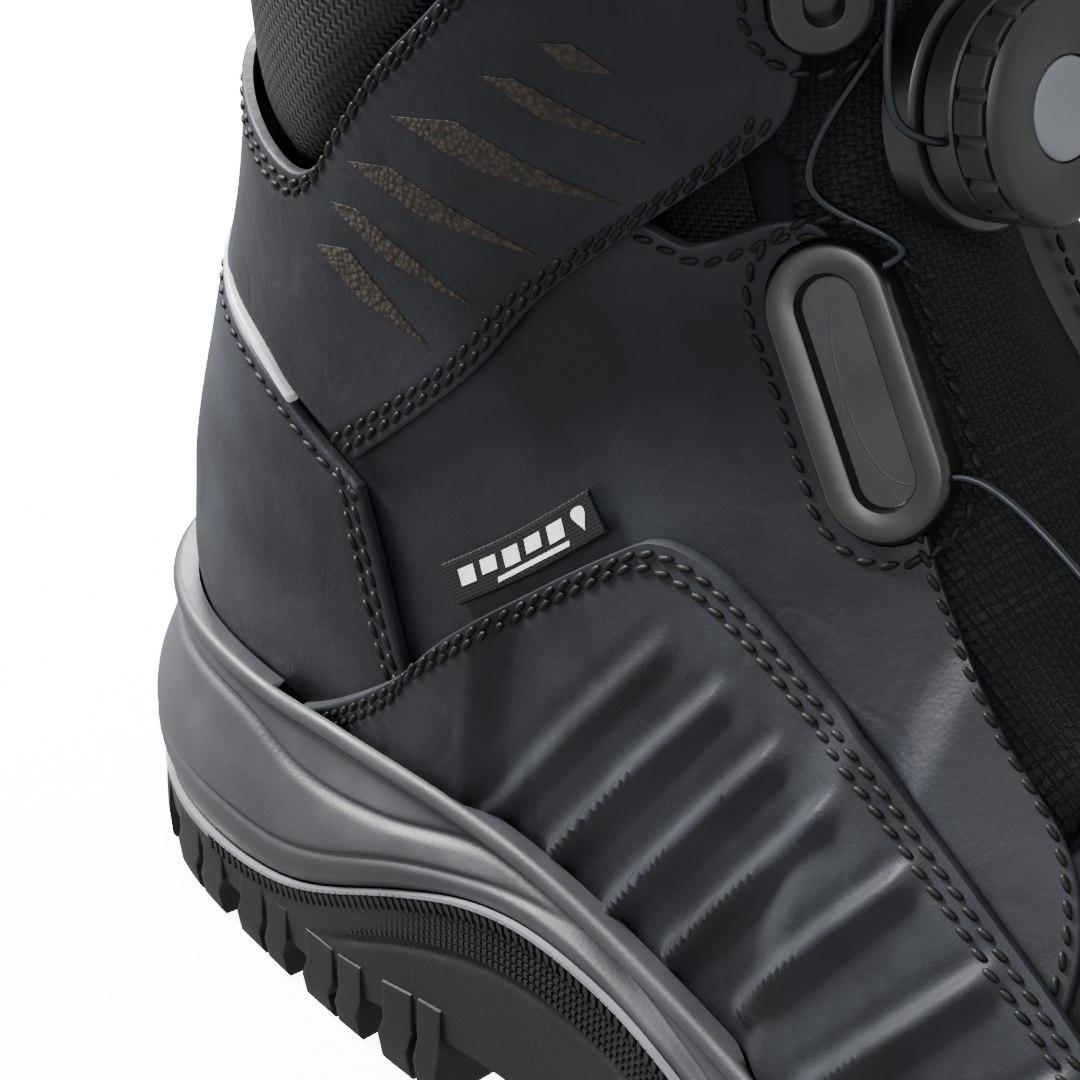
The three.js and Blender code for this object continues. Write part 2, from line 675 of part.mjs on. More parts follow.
const quarters = {};
const shafts = {};
for (const [name, side] of sides) {
  const back = 0.04;
  const quarterFront = [margin(184), [187, 60], [189, 78], [182, 90], [165, 102], [152, 113],
    [143, 123], [135, 134], [129, 143], [123, 151]];
  const quarter = sheet(fill({
    south: [[backLine(51)[0], back * side], ...seam(side, [[16, 50.5], ...marginRow(50, 80, 120, 150, 184)])],
    north: [[backLine(118)[0], back * side], ...seam(side, [[20, 116], [44, 112], [62, 120], [76, 134],
      [90, 146], [99, 150], [107, 148], [115, 153], [120, 154], [123, 151]])],
    west: [[backLine(51)[0], back * side], [backLine(80)[0], back * side],
      [backLine(118)[0], back * side]],
    east: seam(side, quarterFront),
  }, 18, 9), quarterLift, raised(quarterLift, leather));
  quarters[name] = quarter;

  add(`side_panel_${name}`, 'nubuck', sheet(fill({
    south: seam(side, marginRow(46, 80, 120, 150, 190, 225, 246)),
    north: seam(side, [[46.5, 49], [58, 57], [71, 68], [80, 79], [94, 93], [106, 104], [112, 108],
      [120, 108], [130, 105], [140, 101], [155, 95], [180, 83], [205, 71], [228, 62], [247, 52]]),
    west: seam(side, [margin(46), [46.5, 49]]),
    east: seam(side, [margin(246), [247, 52]]),
  }, 21, 4), (u, v, [t, a]) => sideLayer(lastPoint(t, a).x * baseLength / lastLength),
  (u, v, [t, a]) => leather + sideLayer(lastPoint(t, a).x * baseLength / lastLength)));

  shafts[name] = sheet(fill({
    south: [[backLine(115)[0], back * side], ...seam(side, [[16, 114], [37, 109.5], [47, 103.5], [59, 98]])],
    north: [[backLine(146)[0], back * side], ...seam(side, [[22, 143], [44, 139], [53, 143], [59, 153],
      [66, 164], [74, 174], [84, 187], [96, 199], [108, 206], [118, 209]])],
    west: [[backLine(115)[0], back * side], [backLine(130)[0], back * side],
      [backLine(146)[0], back * side]],
    east: seam(side, [[59, 98], [70, 110], [80, 122], [88, 135], [97, 146], [106, 156], [112, 163],
      [116, 170], [117, 183], [117.5, 196], [118, 209]]),
  }, 13, 9), ply, ply + leather);

  const gussetFront = [[122, 132], [114.5, 148], [110.5, 164], [108.5, 180], [107.5, 204]];
  const gussetRear = gussetFront.map(([x, z]) => [x - 11, z - 2]);
  add(`gusset_${name}`, 'textile', sheet(fill({
    south: seam(side, [gussetRear[0], gussetFront[0]]),
    north: seam(side, [gussetRear.at(-1), gussetFront.at(-1)]),
    west: seam(side, gussetRear),
    east: seam(side, gussetFront),
  }, 2, 6), tongueTop - 0.9, tongueTop));
}

const coverFront = [margin(80), [77, 56], [70, 71], [65, 83], [60, 94]];
add('heel_cover', 'leather', sheet(fill({
  south: counterHalf([...marginRow(80, 60, 40, 22), { place: backLine(46.5) }]),
  north: counterHalf([[60, 94], [49, 99.5], [37, 105.5], [16, 110], { place: backLine(111) }]),
  west: seam(outside, coverFront),
  east: seam(inside, coverFront),
}, 22, 8), ply + touch, ply + touch + leather));

const pipeTop = [[46, 102.8], [37, 108.2], [16, 112.7], { place: backLine(113.8) }];
const pipeLow = [[46, 101.6], [37, 106.3], [16, 110.8], { place: backLine(111.9) }];
add('heel_piping', 'piping', sheet(fill({
  south: counterHalf(pipeLow),
  north: counterHalf(pipeTop),
  west: seam(outside, [pipeLow[0], pipeTop[0]]),
  east: seam(inside, [pipeLow[0], pipeTop[0]]),
}, 20, 1), ply, ply + leather + 0.5));

const collarLow = [[95, 199.5], [84, 188.5], [74, 175.5], [66, 165.5], [58, 154.5], [52, 144.5],
  [44, 140.5], [22, 144.5], { place: backLine(147.5) }];
const collarHigh = [[97, 209.5], [80, 207], [60, 203.5], [30, 199], { place: backLine(195) }];
add('collar', 'textile', sheet(fill({
  south: counterHalf(collarLow),
  north: counterHalf(collarHigh),
  west: seam(outside, [collarLow[0], collarHigh[0]]),
  east: seam(inside, [collarLow[0], collarHigh[0]]),
}, 24, 5), (u, v) => -collarPad * Math.sqrt(Math.max(0, 1 - (2 * v - 1) ** 4)) * (1 - 0.35 * v) - 0.4,
(u, v) => 0.8 + 2.6 * Math.sin(Math.PI * v) ** 0.7));

const tongueHalf = [[178, 90], [160, 98], [146, 109], [134, 122], [124, 136], [117, 150],
  [113, 165], [111, 180], [110, 196], [110, 214]];
const tongueSide = seam(inside, tongueHalf);
add('tongue', 'textile', sheet(fill({
  south: tongueSide,
  north: tongueSide.map(([t, a]) => [t, round - a]),
  west: across(tongueSide[0][0], tongueSide[0][1], round - tongueSide[0][1]),
  east: across(tongueSide.at(-1)[0], tongueSide.at(-1)[1], round - tongueSide.at(-1)[1]),
}, 12, 9), (u, v) => tongueTop - 1 - (tonguePad - 1) * Math.sqrt(Math.sin(Math.PI * v)), tongueTop));

// label: a small woven tab on the top edge of the outer side panel
add('label', 'piping', sheet(fill({
  south: seam(outside, [[80, 83.5], [92, 94], [104, 106]]),
  north: seam(outside, [[75.5, 88], [87.5, 98.5], [99.5, 110.5]]),
  west: seam(outside, [[80, 83.5], [75.5, 88]]),
  east: seam(outside, [[104, 106], [99.5, 110.5]]),
}, 6, 1), (u) => leather + touch + 1.2 * u ** 3, (u) => leather + touch + 0.7 + 1.2 * u ** 3));

// pull loop: webbing sewn to the back at both ends and bowed out between them
const loopRise = 9;
const loopSeat = ply + leather + touch;
const loopHalfAngle = 0.17;
const loopOff = (u) => loopSeat + loopRise * smooth(0.1, 0.45, u) * (1 - smooth(0.55, 0.9, u));
add('pull_loop', 'textile', sheet(fill({
  south: along(-loopHalfAngle, backLine(152)[0], backLine(200)[0]),
  north: along(loopHalfAngle, backLine(152)[0], backLine(200)[0]),
  west: across(backLine(152)[0], -loopHalfAngle, loopHalfAngle),
  east: across(backLine(200)[0], -loopHalfAngle, loopHalfAngle),
}, 14, 2), loopOff, (u) => loopOff(u) + 1.5));

// ---------------------------------------------------------------- closure
// A frame on the upper: z outwards at a place, x towards a second place.
function frameAt([t, a], towards, off) {
  const z = lastNormal(t, a);
  const x = lastPoint(...towards).sub(lastPoint(t, a));
  x.addScaledVector(z, -x.dot(z)).normalize();
  const y = z.clone().cross(x);
  return new THREE.Matrix4().makeBasis(x, y, z).setPosition(onLast(t, a, off));
}
const placed = (frame, geometry) => geometry.clone().applyMatrix4(frame);
const inFrame = (frame, x, y, z) => new THREE.Vector3(x, y, z).applyMatrix4(frame);

// Everything of the boot below an offset, round a place: hardware is cut to sit on it.
function below([t, a], reachT, reachA, off) {
  const grid = [];
  const steps = 6;
  for (let i = 0; i <= steps; i += 1) {
    grid.push([]);
    for (let j = 0; j <= steps; j += 1) {
      grid[i].push([t + reachT * (2 * i / steps - 1), a + reachA * (2 * j / steps - 1)]);
    }
  }
  return sheet(grid, -14, off);
}

function slab(length, width, from, to, bevel = 0, corners = 3) {
  const r = width / 2 - bevel;
  const half = length / 2 - width / 2;
  const outline = new THREE.Shape();
  outline.absarc(half, 0, r, -Math.PI / 2, Math.PI / 2);
  outline.absarc(-half, 0, r, Math.PI / 2, 3 * Math.PI / 2);
  const geometry = new THREE.ExtrudeGeometry(outline, {
    depth: to - from - bevel,
    curveSegments: corners,
    bevelEnabled: bevel > 0,
    bevelThickness: bevel,
    bevelSize: bevel,
    bevelSegments: 1,
  });
  geometry.translate(0, 0, from);
  return geometry;
}

function tube(points, radius, steps, sides = 8) {
  const circle = new THREE.Shape();
  circle.absarc(0, 0, radius, 0, round);
  return new THREE.ExtrudeGeometry(circle, {
    steps,
    curveSegments: sides / 2,
    extrudePath: new THREE.CatmullRomCurve3(points, false, 'centripetal'),
  });
}

const cableHeight = guideHeight * 0.45;   // height of the cable's run above the upper
const channelRadius = cableDiameter / 2 + 1.1;
const guideRun = (frame, length, width, way) => {
  const mouth = width / 2 + 3;
  const reach = length / 2 - 5;
  return [[-reach, mouth], [-reach + 2, width * 0.1], [-reach + 7, -width * 0.08],
    [reach - 7, -width * 0.08], [reach - 2, width * 0.1], [reach, mouth]]
    .map(([x, y]) => inFrame(frame, x, way * y, cableHeight));
};

function guide(centre, towards, length, width, way, seat, reach = [1.9, 0.9]) {
  const frame = frameAt(centre, towards, 0);
  const run = guideRun(frame, length, width, way);
  const bed = below(centre, ...reach, seat);
  const body = cut(
    placed(frame, slab(length, width, -5, guideHeight, 1.2)),
    placed(frame, slab(length - 13, width - 9, guideHeight - 2.4, guideHeight + 3)),
    tube(run, channelRadius, 14, 6),
    bed,
  );
  const pocket = placed(frame, slab(length + 2 * touch, width + 2 * touch, -8, guideHeight + 8));
  return { frame, run, body, pocket };
}

function flanged(piece, centre, length, width) {
  const rim = common(
    placed(piece.frame, slab(length + 7, width + 7, -7, guideHeight)),
    cut(below(centre, 1.8, 0.85, -plyGap), below(centre, 1.9, 0.9, -plyGap - flangeWall)),
  );
  return join(piece.body, rim);
}

const mirrored = (points) => points.map(([t, a]) => [t, -a]);
const runs = {};
const lowerGuide = [[131, 134], [141, 122]];
const upperGuide = [[116.5, 191], [118.5, 177]];
const upperLength = guideLength * 0.66;
const upperWidth = guideWidth * 0.8;
for (const [name, side] of sides) {
  const way = -side;
  const onSide = (pair) => {
    const marks = pair.map(([x, z]) => placeAt(x, z));
    return side === inside ? marks : mirrored(marks);
  };
  const [low, lowTo] = onSide(lowerGuide);
  const [up, upTo] = onSide(upperGuide);
  const lower = guide(low, lowTo, guideLength, guideWidth, way, -plyGap - flangeWall);
  const upper = guide(up, upTo, upperLength, upperWidth, way, -plyGap - flangeWall);
  add(`quarter_${name}`, 'leather', cut(quarters[name], lower.pocket));
  add(`shaft_${name}`, 'leather', cut(shafts[name], upper.pocket));
  add(`lower_guide_${name}`, 'moulded', flanged(lower, low, guideLength, guideWidth));
  add(`upper_guide_${name}`, 'moulded', flanged(upper, up, upperLength, upperWidth));
  runs[name] = { upper: upper.run, lower: lower.run };
}

// vamp guide: a cross piece at the foot of the tongue
const vampSeat = frontLine(96.5);
const vampGuideLength = 34;
const vampGuideWidth = 12;
const vampGuide = guide(vampSeat, [vampSeat[0], vampSeat[1] + 0.2], vampGuideLength, vampGuideWidth,
  -1, leather + 1.5 * plyGap, [1, 0.7]);
add('vamp_guide', 'moulded', vampGuide.body);

// ---------------------------------------------------------------- dial
const dialPlace = frontLine(dialHeightOnUpper);
const dialFrame = frameAt(dialPlace, frontLine(dialHeightOnUpper + 8), 0);
const plateTop = 2.2;
const floorTop = plateTop + touch + 1.6;
const wallTop = floorTop + 3;
const spoolLow = floorTop + touch;
const portHeight = spoolLow + 1.6;
const spoolTop = portHeight + 1.6;
const splineTop = spoolTop + 2.2;
const knobLow = wallTop + touch;
const postRadius = 3;
const grooveRadius = 8;
const flangeRadius = 11.5;
const knobRadius = dialRadius - 2.4;
const splineCount = 8;
const screwRadius = 1.3;

function turned(profile, segments = 24) {
  const geometry = new THREE.LatheGeometry(profile.map(([r, z]) => new THREE.Vector2(r, z)), segments);
  return geometry.rotateX(Math.PI / 2);
}
const disc = (radius, from, to, segments = 24) => turned(
  [[0, from], [radius, from], [radius, to], [0, to]], segments);

// A ring of evenly spaced ridges: radius swings between low and high, count times round.
function ridged(low, high, count, from, to, hole = 0) {
  const outline = new THREE.Shape();
  const corners = count * 4;
  for (let k = 0; k < corners; k += 1) {
    const r = k % 4 < 2 ? high : low;
    const angle = round * (k + 0.5) / corners;
    outline[k ? 'lineTo' : 'moveTo'](r * Math.cos(angle), r * Math.sin(angle));
  }
  if (hole) {
    outline.holes.push(new THREE.Path().absarc(0, 0, hole, 0, round));
  }
  const geometry = new THREE.ExtrudeGeometry(outline, { depth: to - from, curveSegments: 24,
    bevelEnabled: false });
  return geometry.translate(0, 0, from);
}

const port = (way) => tube([new THREE.Vector3(0, way * (postRadius + 1), portHeight),
  new THREE.Vector3(0, way * (dialRadius + 4), portHeight)], channelRadius, 1, 8);
const dialPlate = cut(
  placed(dialFrame, disc(dialRadius + 1.5, -9, plateTop, 28)),
  below(dialPlace, 2.2, 0.8, tongueTop + 2 * plyGap),
);
add('dial_plate', 'moulded', dialPlate);
const dialBase = cut(
  turned([[screwRadius - 0.2, plateTop + touch], [dialRadius, plateTop + touch], [dialRadius, wallTop],
    [dialRadius - 1.6, wallTop], [dialRadius - 1.6, floorTop], [postRadius, floorTop],
    [postRadius, spoolTop - 0.2], [screwRadius - 0.2, spoolTop - 0.2],
    [screwRadius - 0.2, plateTop + touch]]),
  port(1),
  port(-1),
);
add('dial_base', 'moulded', placed(dialFrame, dialBase));

const reel = turned([[postRadius + touch, spoolLow], [flangeRadius, spoolLow],
  [flangeRadius, spoolLow + 0.7], [grooveRadius, spoolLow + 0.9], [grooveRadius, spoolTop - 0.9],
  [flangeRadius, spoolTop - 0.7], [flangeRadius, spoolTop], [postRadius + touch, spoolTop],
  [postRadius + touch, spoolLow]]);
const hub = ridged(5, 6, splineCount, spoolTop - 0.3, splineTop, postRadius + touch);
add('dial_spool', 'moulded', placed(dialFrame, join(reel, hub)));
add('dial_screw', 'steel', placed(dialFrame, turned([[0, spoolTop - 0.1], [screwRadius - 0.5, spoolTop - 0.1],
  [screwRadius - 0.5, splineTop - 0.9], [postRadius - 0.3, splineTop - 0.9],
  [postRadius - 0.3, splineTop - 0.2], [0, splineTop - 0.2]], 12)));

const capRadius = 6.5;
const capDeep = 1.1;
const knob = cut(
  turned([[0, knobLow], [knobRadius, knobLow], [knobRadius, dialHeight - 1.4],
    [dialRadius - 0.3, dialHeight - 1.2], [dialRadius - 0.9, dialHeight - 0.2],
    [dialRadius - 2, dialHeight], [0, dialHeight]], 28),
  ridged(5 + touch, 6 + touch, splineCount, knobLow - 1, splineTop + touch),
  disc(flangeRadius + touch, knobLow - 1, spoolTop + touch),
  disc(capRadius + touch, dialHeight - capDeep, dialHeight + 1),
);
add('dial_knob', 'moulded', placed(dialFrame, knob));
add('knob_grip', 'rubber', placed(dialFrame, ridged(dialRadius - 0.8, dialRadius, 16,
  knobLow, dialHeight - 1.4 - touch, knobRadius + touch)));
add('knob_cap', 'piping', placed(dialFrame, turned([[0, dialHeight - capDeep + touch],
  [capRadius, dialHeight - capDeep + touch], [capRadius, dialHeight - 0.2],
  [capRadius - 0.6, dialHeight + 0.2], [0, dialHeight + 0.2]], 20)));

// ---------------------------------------------------------------- cable
const fromDial = (way) => [[0, grooveRadius + touch + cableDiameter / 2, portHeight],
  [0, dialRadius + 1, portHeight], [5, dialRadius + 6, portHeight - 3]]
  .map(([x, y, z]) => inFrame(dialFrame, x, way * y, z));
const halfRoute = (name, side) => {
  const beside = onLast(dialPlace[0], Math.PI - side * 0.57, 1.4);
  return [...fromDial(-side), ...runs[name].upper, beside, ...runs[name].lower];
};
const cableRoute = [
  ...halfRoute('lateral', outside),
  ...vampGuide.run.toReversed(),
  ...halfRoute('medial', inside).reverse(),
];
add('lace_cable', 'cable', tube(cableRoute, cableDiameter / 2, 76, 8));
// The part's origin is the centre of its box, on the ground.
const box = new THREE.Box3().setFromObject(boot);
const middle = box.getCenter(new THREE.Vector3());
boot.position.set(-middle.x, -middle.y, -box.min.z);

export default boot;
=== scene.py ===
"""Steel toe work boot, right foot, with a dial closure.

The upper is laid on a last: each panel is a patch between four seams, raised by its layer of leather.
"""
import math

import bmesh
import bpy
import numpy as np
from mathutils import Matrix, Vector


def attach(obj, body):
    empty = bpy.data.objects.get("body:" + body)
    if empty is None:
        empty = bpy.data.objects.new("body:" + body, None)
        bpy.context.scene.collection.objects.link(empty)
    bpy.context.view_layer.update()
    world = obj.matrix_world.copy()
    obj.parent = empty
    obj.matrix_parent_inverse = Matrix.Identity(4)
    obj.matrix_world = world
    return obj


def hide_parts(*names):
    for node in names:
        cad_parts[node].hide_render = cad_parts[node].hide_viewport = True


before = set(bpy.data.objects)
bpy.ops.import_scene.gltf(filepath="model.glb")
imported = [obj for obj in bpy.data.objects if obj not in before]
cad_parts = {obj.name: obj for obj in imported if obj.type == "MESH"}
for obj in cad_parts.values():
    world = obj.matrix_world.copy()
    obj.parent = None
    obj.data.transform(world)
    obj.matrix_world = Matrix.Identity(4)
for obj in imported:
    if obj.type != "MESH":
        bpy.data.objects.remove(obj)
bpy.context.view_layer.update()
scene = bpy.context.scene

MM = 0.001
HEEL = np.array([-152.24658, 0.16277, 0.0])   # heel curve of the last in the shared frame, mm
ROUND = 2 * math.pi


# ------------------------------------------------------------------ camera
def aim_camera(azimuth, elevation, roll, distance, target, lens):
    """A long lens aimed at the rear outer side, from above."""
    a, e, r = (math.radians(x) for x in (azimuth, elevation, roll))
    back = Vector((math.sin(a) * math.cos(e), -math.cos(a) * math.cos(e), math.sin(e)))
    right = (-back).cross(Vector((0, 0, 1))).normalized()
    up = right.cross(-back)
    turned_right = right * math.cos(r) + up * math.sin(r)
    turned_up = up * math.cos(r) - right * math.sin(r)
    camera = bpy.data.objects.new("camera", bpy.data.cameras.new("camera"))
    scene.collection.objects.link(camera)
    camera.data.lens = lens
    camera.data.sensor_width = 36
    camera.data.clip_start = 0.01
    camera.data.clip_end = 20
    axes = Matrix((turned_right, turned_up, back)).transposed().to_4x4()
    camera.matrix_world = Matrix.Translation(Vector(target) + back * distance) @ axes
    scene.camera = camera


aim_camera(43.1, 33.5, 2.9, 0.5, (-0.05765, -0.03984, 0.1019), 124)


# ------------------------------------------------------------------ materials
def linear(hex_colour):
    """An sRGB hex colour as linear red, green, blue and alpha."""
    channels = [int(hex_colour[k:k + 2], 16) / 255 for k in (1, 3, 5)]
    return [c / 12.92 if c <= 0.04045 else ((c + 0.055) / 1.055) ** 2.4 for c in channels] + [1.0]


def add_node(tree, kind, values=None, **settings):
    """Adds a node. Settings are its properties; values are its sockets, numbers or outputs to link."""
    made = tree.nodes.new(kind)
    for key, value in settings.items():
        setattr(made, key, value)
    for socket, value in (values or {}).items():
        if isinstance(value, bpy.types.NodeSocket):
            tree.links.new(value, made.inputs[socket])
        else:
            made.inputs[socket].default_value = value
    return made


def new_material(name, **sockets):
    """A material with its shader's plain sockets set; returns it with its tree and shader."""
    material = bpy.data.materials.new(name)
    material.use_nodes = True
    tree = material.node_tree
    shader = tree.nodes["Principled BSDF"]
    for socket, value in sockets.items():
        shader.inputs[socket.replace("_", " ")].default_value = value
    return material, tree, shader


def colour_between(tree, shader, factor, low, high, first, last):
    """Base colour from a factor: the first tone up to low, the last one from high."""
    ramp = add_node(tree, "ShaderNodeValToRGB", {"Fac": factor})
    for element, position, tone in zip(ramp.color_ramp.elements, (low, high), (first, last)):
        element.position = position
        element.color = linear(tone)
    tree.links.new(ramp.outputs["Color"], shader.inputs["Base Color"])


def two_tone(tree, shader, coords, size, dark, light, low=0.35, high=0.65, detail=4.0):
    """Colour that drifts between two tones in patches of a real size, in metres."""
    noise = add_node(tree, "ShaderNodeTexNoise", {"Vector": coords, "Scale": 1 / size, "Detail": detail})
    colour_between(tree, shader, noise.outputs["Fac"], low, high, dark, light)


def rough_patches(tree, shader, coords, size, low, high):
    """Roughness that drifts between two values in patches of a real size, in metres."""
    noise = add_node(tree, "ShaderNodeTexNoise", {"Vector": coords, "Scale": 1 / size, "Detail": 3.0})
    spread = add_node(tree, "ShaderNodeMapRange", {"Value": noise.outputs["Fac"], "From Min": 0.3,
                                                   "From Max": 0.7, "To Min": low, "To Max": high})
    tree.links.new(spread.outputs["Result"], shader.inputs["Roughness"])


def relief(tree, shader, layers):
    """Bumps stacked from (height output, depth in metres), the coarsest first."""
    normal = None
    for height, depth in layers:
        values = {"Height": height, "Strength": 1.0, "Distance": depth}
        if normal is not None:
            values["Normal"] = normal
        normal = add_node(tree, "ShaderNodeBump", values).outputs["Normal"]
    tree.links.new(normal, shader.inputs["Normal"])


def object_coords(tree):
    """The object's own coordinates, in metres."""
    return add_node(tree, "ShaderNodeTexCoord").outputs["Object"]


def full_grain_leather(name, dark, light, rough_low, rough_high, crease=0.00022):
    """Waxed full-grain leather: tight pores, faint creases and paler, drier patches where it was bent."""
    material, tree, shader = new_material(name, Specular_IOR_Level=0.2)
    coords = object_coords(tree)
    two_tone(tree, shader, coords, 0.028, dark, light, 0.38, 0.72, 6.0)
    rough_patches(tree, shader, coords, 0.012, rough_low, rough_high)
    # Creases run with the grain of the hide: noise stretched four times along one way.
    stretched = add_node(tree, "ShaderNodeMapping", {"Vector": coords, "Rotation": (0.3, 0.5, 0.8),
                                                     "Scale": (1.0, 0.28, 1.0)})
    creases = add_node(tree, "ShaderNodeTexNoise", {"Vector": stretched.outputs["Vector"],
                                                    "Scale": 1 / 0.006, "Detail": 5.0, "Distortion": 0.6})
    pores = add_node(tree, "ShaderNodeTexVoronoi", {"Vector": coords, "Scale": 1 / 0.0007})
    relief(tree, shader, [(creases.outputs["Fac"], crease), (pores.outputs["Distance"], 0.00003)])
    return material


def brushed_nubuck(name, dark, light):
    """Nubuck: leather buffed to a short nap, so it is matt with a soft grey bloom and a powdery grain."""
    material, tree, shader = new_material(name, Specular_IOR_Level=0.16)
    coords = object_coords(tree)
    two_tone(tree, shader, coords, 0.02, dark, light, 0.35, 0.7, 6.0)
    rough_patches(tree, shader, coords, 0.01, 0.5, 0.68)
    nap = add_node(tree, "ShaderNodeTexNoise", {"Vector": coords, "Scale": 1 / 0.00045, "Detail": 4.0})
    waves = add_node(tree, "ShaderNodeTexNoise", {"Vector": coords, "Scale": 1 / 0.009, "Detail": 3.0})
    relief(tree, shader, [(waves.outputs["Fac"], 0.0003), (nap.outputs["Fac"], 0.00006)])
    return material


def etched_leather(name, dark, light):
    """Laser-etched leather: the finish is burnt off, leaving small hard brown pebbles of about 0.9 mm, with
    painted shade in the low gaps between them.
    """
    material, tree, shader = new_material(name, Specular_IOR_Level=0.35)
    coords = object_coords(tree)
    pebbles = add_node(tree, "ShaderNodeTexVoronoi", {"Vector": coords, "Scale": 1 / 0.0009,
                                                      "Randomness": 0.9})
    # The colour follows the pebbles' height: each is pale brown on its crown and darkens towards its rim,
    # painted shade in the gaps between pebbles.
    colour_between(tree, shader, pebbles.outputs["Distance"], 0.15, 0.6, light, dark)
    rough_patches(tree, shader, coords, 0.002, 0.55, 0.75)
    inverted = add_node(tree, "ShaderNodeMath", {0: 1.0, 1: pebbles.outputs["Distance"]},
                        operation="SUBTRACT")
    relief(tree, shader, [(inverted.outputs[0], 0.00025)])
    return material


def woven_cloth(name, dark, light, thread, rough=0.75, depth=0.00018):
    """Woven yarns over and under each other, with painted shade where they dip and a painted highlight on
    their crowns; the piece's own attribute gives the way of the threads.
    """
    material, tree, shader = new_material(name, Roughness=rough, Specular_IOR_Level=0.15)
    coords = add_node(tree, "ShaderNodeAttribute", attribute_name="weave").outputs["Vector"]
    # A wave texture's period is pi / 10 over its scale, and a checker's square is 1 over its scale.
    band = math.pi / 10 / thread
    warp = add_node(tree, "ShaderNodeTexWave", {"Vector": coords, "Scale": band, "Distortion": 0.0},
                    wave_type="BANDS", bands_direction="X")
    weft = add_node(tree, "ShaderNodeTexWave", {"Vector": coords, "Scale": band, "Distortion": 0.0},
                    wave_type="BANDS", bands_direction="Y")
    squares = add_node(tree, "ShaderNodeTexChecker", {"Vector": coords, "Scale": 1 / thread,
                                                      "Color1": (1, 1, 1, 1), "Color2": (0, 0, 0, 1)})
    over = add_node(tree, "ShaderNodeMix", {"Factor": squares.outputs["Fac"],
                                            2: warp.outputs["Fac"], 3: weft.outputs["Fac"]})
    # The colour follows the weave's height: painted shade darkens each yarn's edges and where it dips under
    # the crossing yarn, and a painted highlight lightens its crown.
    colour_between(tree, shader, over.outputs[0], 0.1, 0.9, dark, light)
    relief(tree, shader, [(over.outputs[0], depth)])
    return material


def moulded(name, dark, light, rough_low, rough_high, grain, depth, patch=0.02, **sockets):
    """A moulded polymer: even colour, a fine tool texture, slightly polished on proud places."""
    material, tree, shader = new_material(name, **sockets)
    coords = object_coords(tree)
    two_tone(tree, shader, coords, patch, dark, light, 0.3, 0.7, 5.0)
    rough_patches(tree, shader, coords, patch / 2, rough_low, rough_high)
    texture = add_node(tree, "ShaderNodeTexNoise", {"Vector": coords, "Scale": 1 / grain, "Detail": 4.0})
    relief(tree, shader, [(texture.outputs["Fac"], depth)])
    return material


def waxed_thread(name):
    """Bonded nylon thread: satin black strands with a twist of about 0.5 mm."""
    material, tree, shader = new_material(name, Roughness=0.5, Specular_IOR_Level=0.14)
    coords = object_coords(tree)
    two_tone(tree, shader, coords, 0.004, "#070708", "#121314")
    twist = add_node(tree, "ShaderNodeTexNoise", {"Vector": coords, "Scale": 1 / 0.0003, "Detail": 2.0})
    relief(tree, shader, [(twist.outputs["Fac"], 0.00006)])
    return material


def metal(name, colour, rough, grain=0.0006):
    """Pressed or turned metal with a fine directional grain."""
    material, tree, shader = new_material(name, Metallic=1.0)
    coords = object_coords(tree)
    two_tone(tree, shader, coords, 0.01, colour, colour)
    rough_patches(tree, shader, coords, 0.004, rough - 0.08, rough + 0.08)
    scratches = add_node(tree, "ShaderNodeMapping", {"Vector": coords, "Scale": (0.1, 1.0, 1.0)})
    lines = add_node(tree, "ShaderNodeTexNoise", {"Vector": scratches.outputs["Vector"], "Scale": 1 / grain,
                                                  "Detail": 3.0})
    relief(tree, shader, [(lines.outputs["Fac"], 0.00002)])
    return material


LEATHER = full_grain_leather("waxed full-grain leather", "#101115", "#1f2126", 0.42, 0.58)
HEEL_LEATHER = full_grain_leather("waxed leather over the heel", "#131418", "#26282d", 0.44, 0.6)
NUBUCK = brushed_nubuck("black nubuck, buffed", "#141518", "#232529")
ETCHED = etched_leather("laser-etched leather", "#120d09", "#30251d")
BALLISTIC = woven_cloth("ballistic nylon, woven", "#050506", "#17181a", 0.0011, 0.55, 0.00025)
CANVAS = woven_cloth("tongue textile, woven", "#060607", "#151618", 0.0008, 0.7, 0.0002)
WEBBING = woven_cloth("polyester webbing", "#0b0b0c", "#1d1e20", 0.0012, 0.6, 0.0003)
PIPING = moulded("reflective piping, glass beads in a grey film", "#9b9da1", "#bfc1c4", 0.32, 0.45,
                 0.0002, 0.00002, 0.004, Specular_IOR_Level=0.6)
MIDSOLE = moulded("polyurethane midsole, moulded", "#242528", "#313235", 0.4, 0.55, 0.0006, 0.00004,
                  Specular_IOR_Level=0.3)
RUBBER = moulded("nitrile rubber outsole, moulded", "#0a0a0b", "#141416", 0.5, 0.68, 0.0008, 0.00006,
                 Specular_IOR_Level=0.22)
EDGE_LINE = moulded("grey rubber edge line", "#55575b", "#6a6c70", 0.4, 0.5, 0.0006, 0.00003)
TPU = moulded("TPU guide, moulded", "#08090a", "#0f1011", 0.26, 0.4, 0.0009, 0.00002,
              Specular_IOR_Level=0.55, Coat_Weight=0.1, Coat_Roughness=0.2)
NYLON = moulded("glass-filled nylon, moulded", "#111214", "#1d1e21", 0.34, 0.5, 0.0007, 0.00003)
GRIP = moulded("soft rubber grip, overmoulded", "#0c0c0d", "#161617", 0.6, 0.75, 0.0005, 0.00003)
KNOB_CAP = moulded("dial cap, satin polymer", "#5c5f64", "#6f7277", 0.3, 0.42, 0.0006, 0.00001)
STEEL = metal("pressed steel", "#b9bcc0", 0.34)
SCREW = metal("turned screw steel", "#c9ccd0", 0.28)
BOARD = moulded("fibre board, pressed", "#a59d88", "#c4bca8", 0.8, 0.95, 0.0012, 0.00008)
FOAM = moulded("foam footbed, skived", "#33363c", "#454950", 0.85, 0.95, 0.0009, 0.0001)
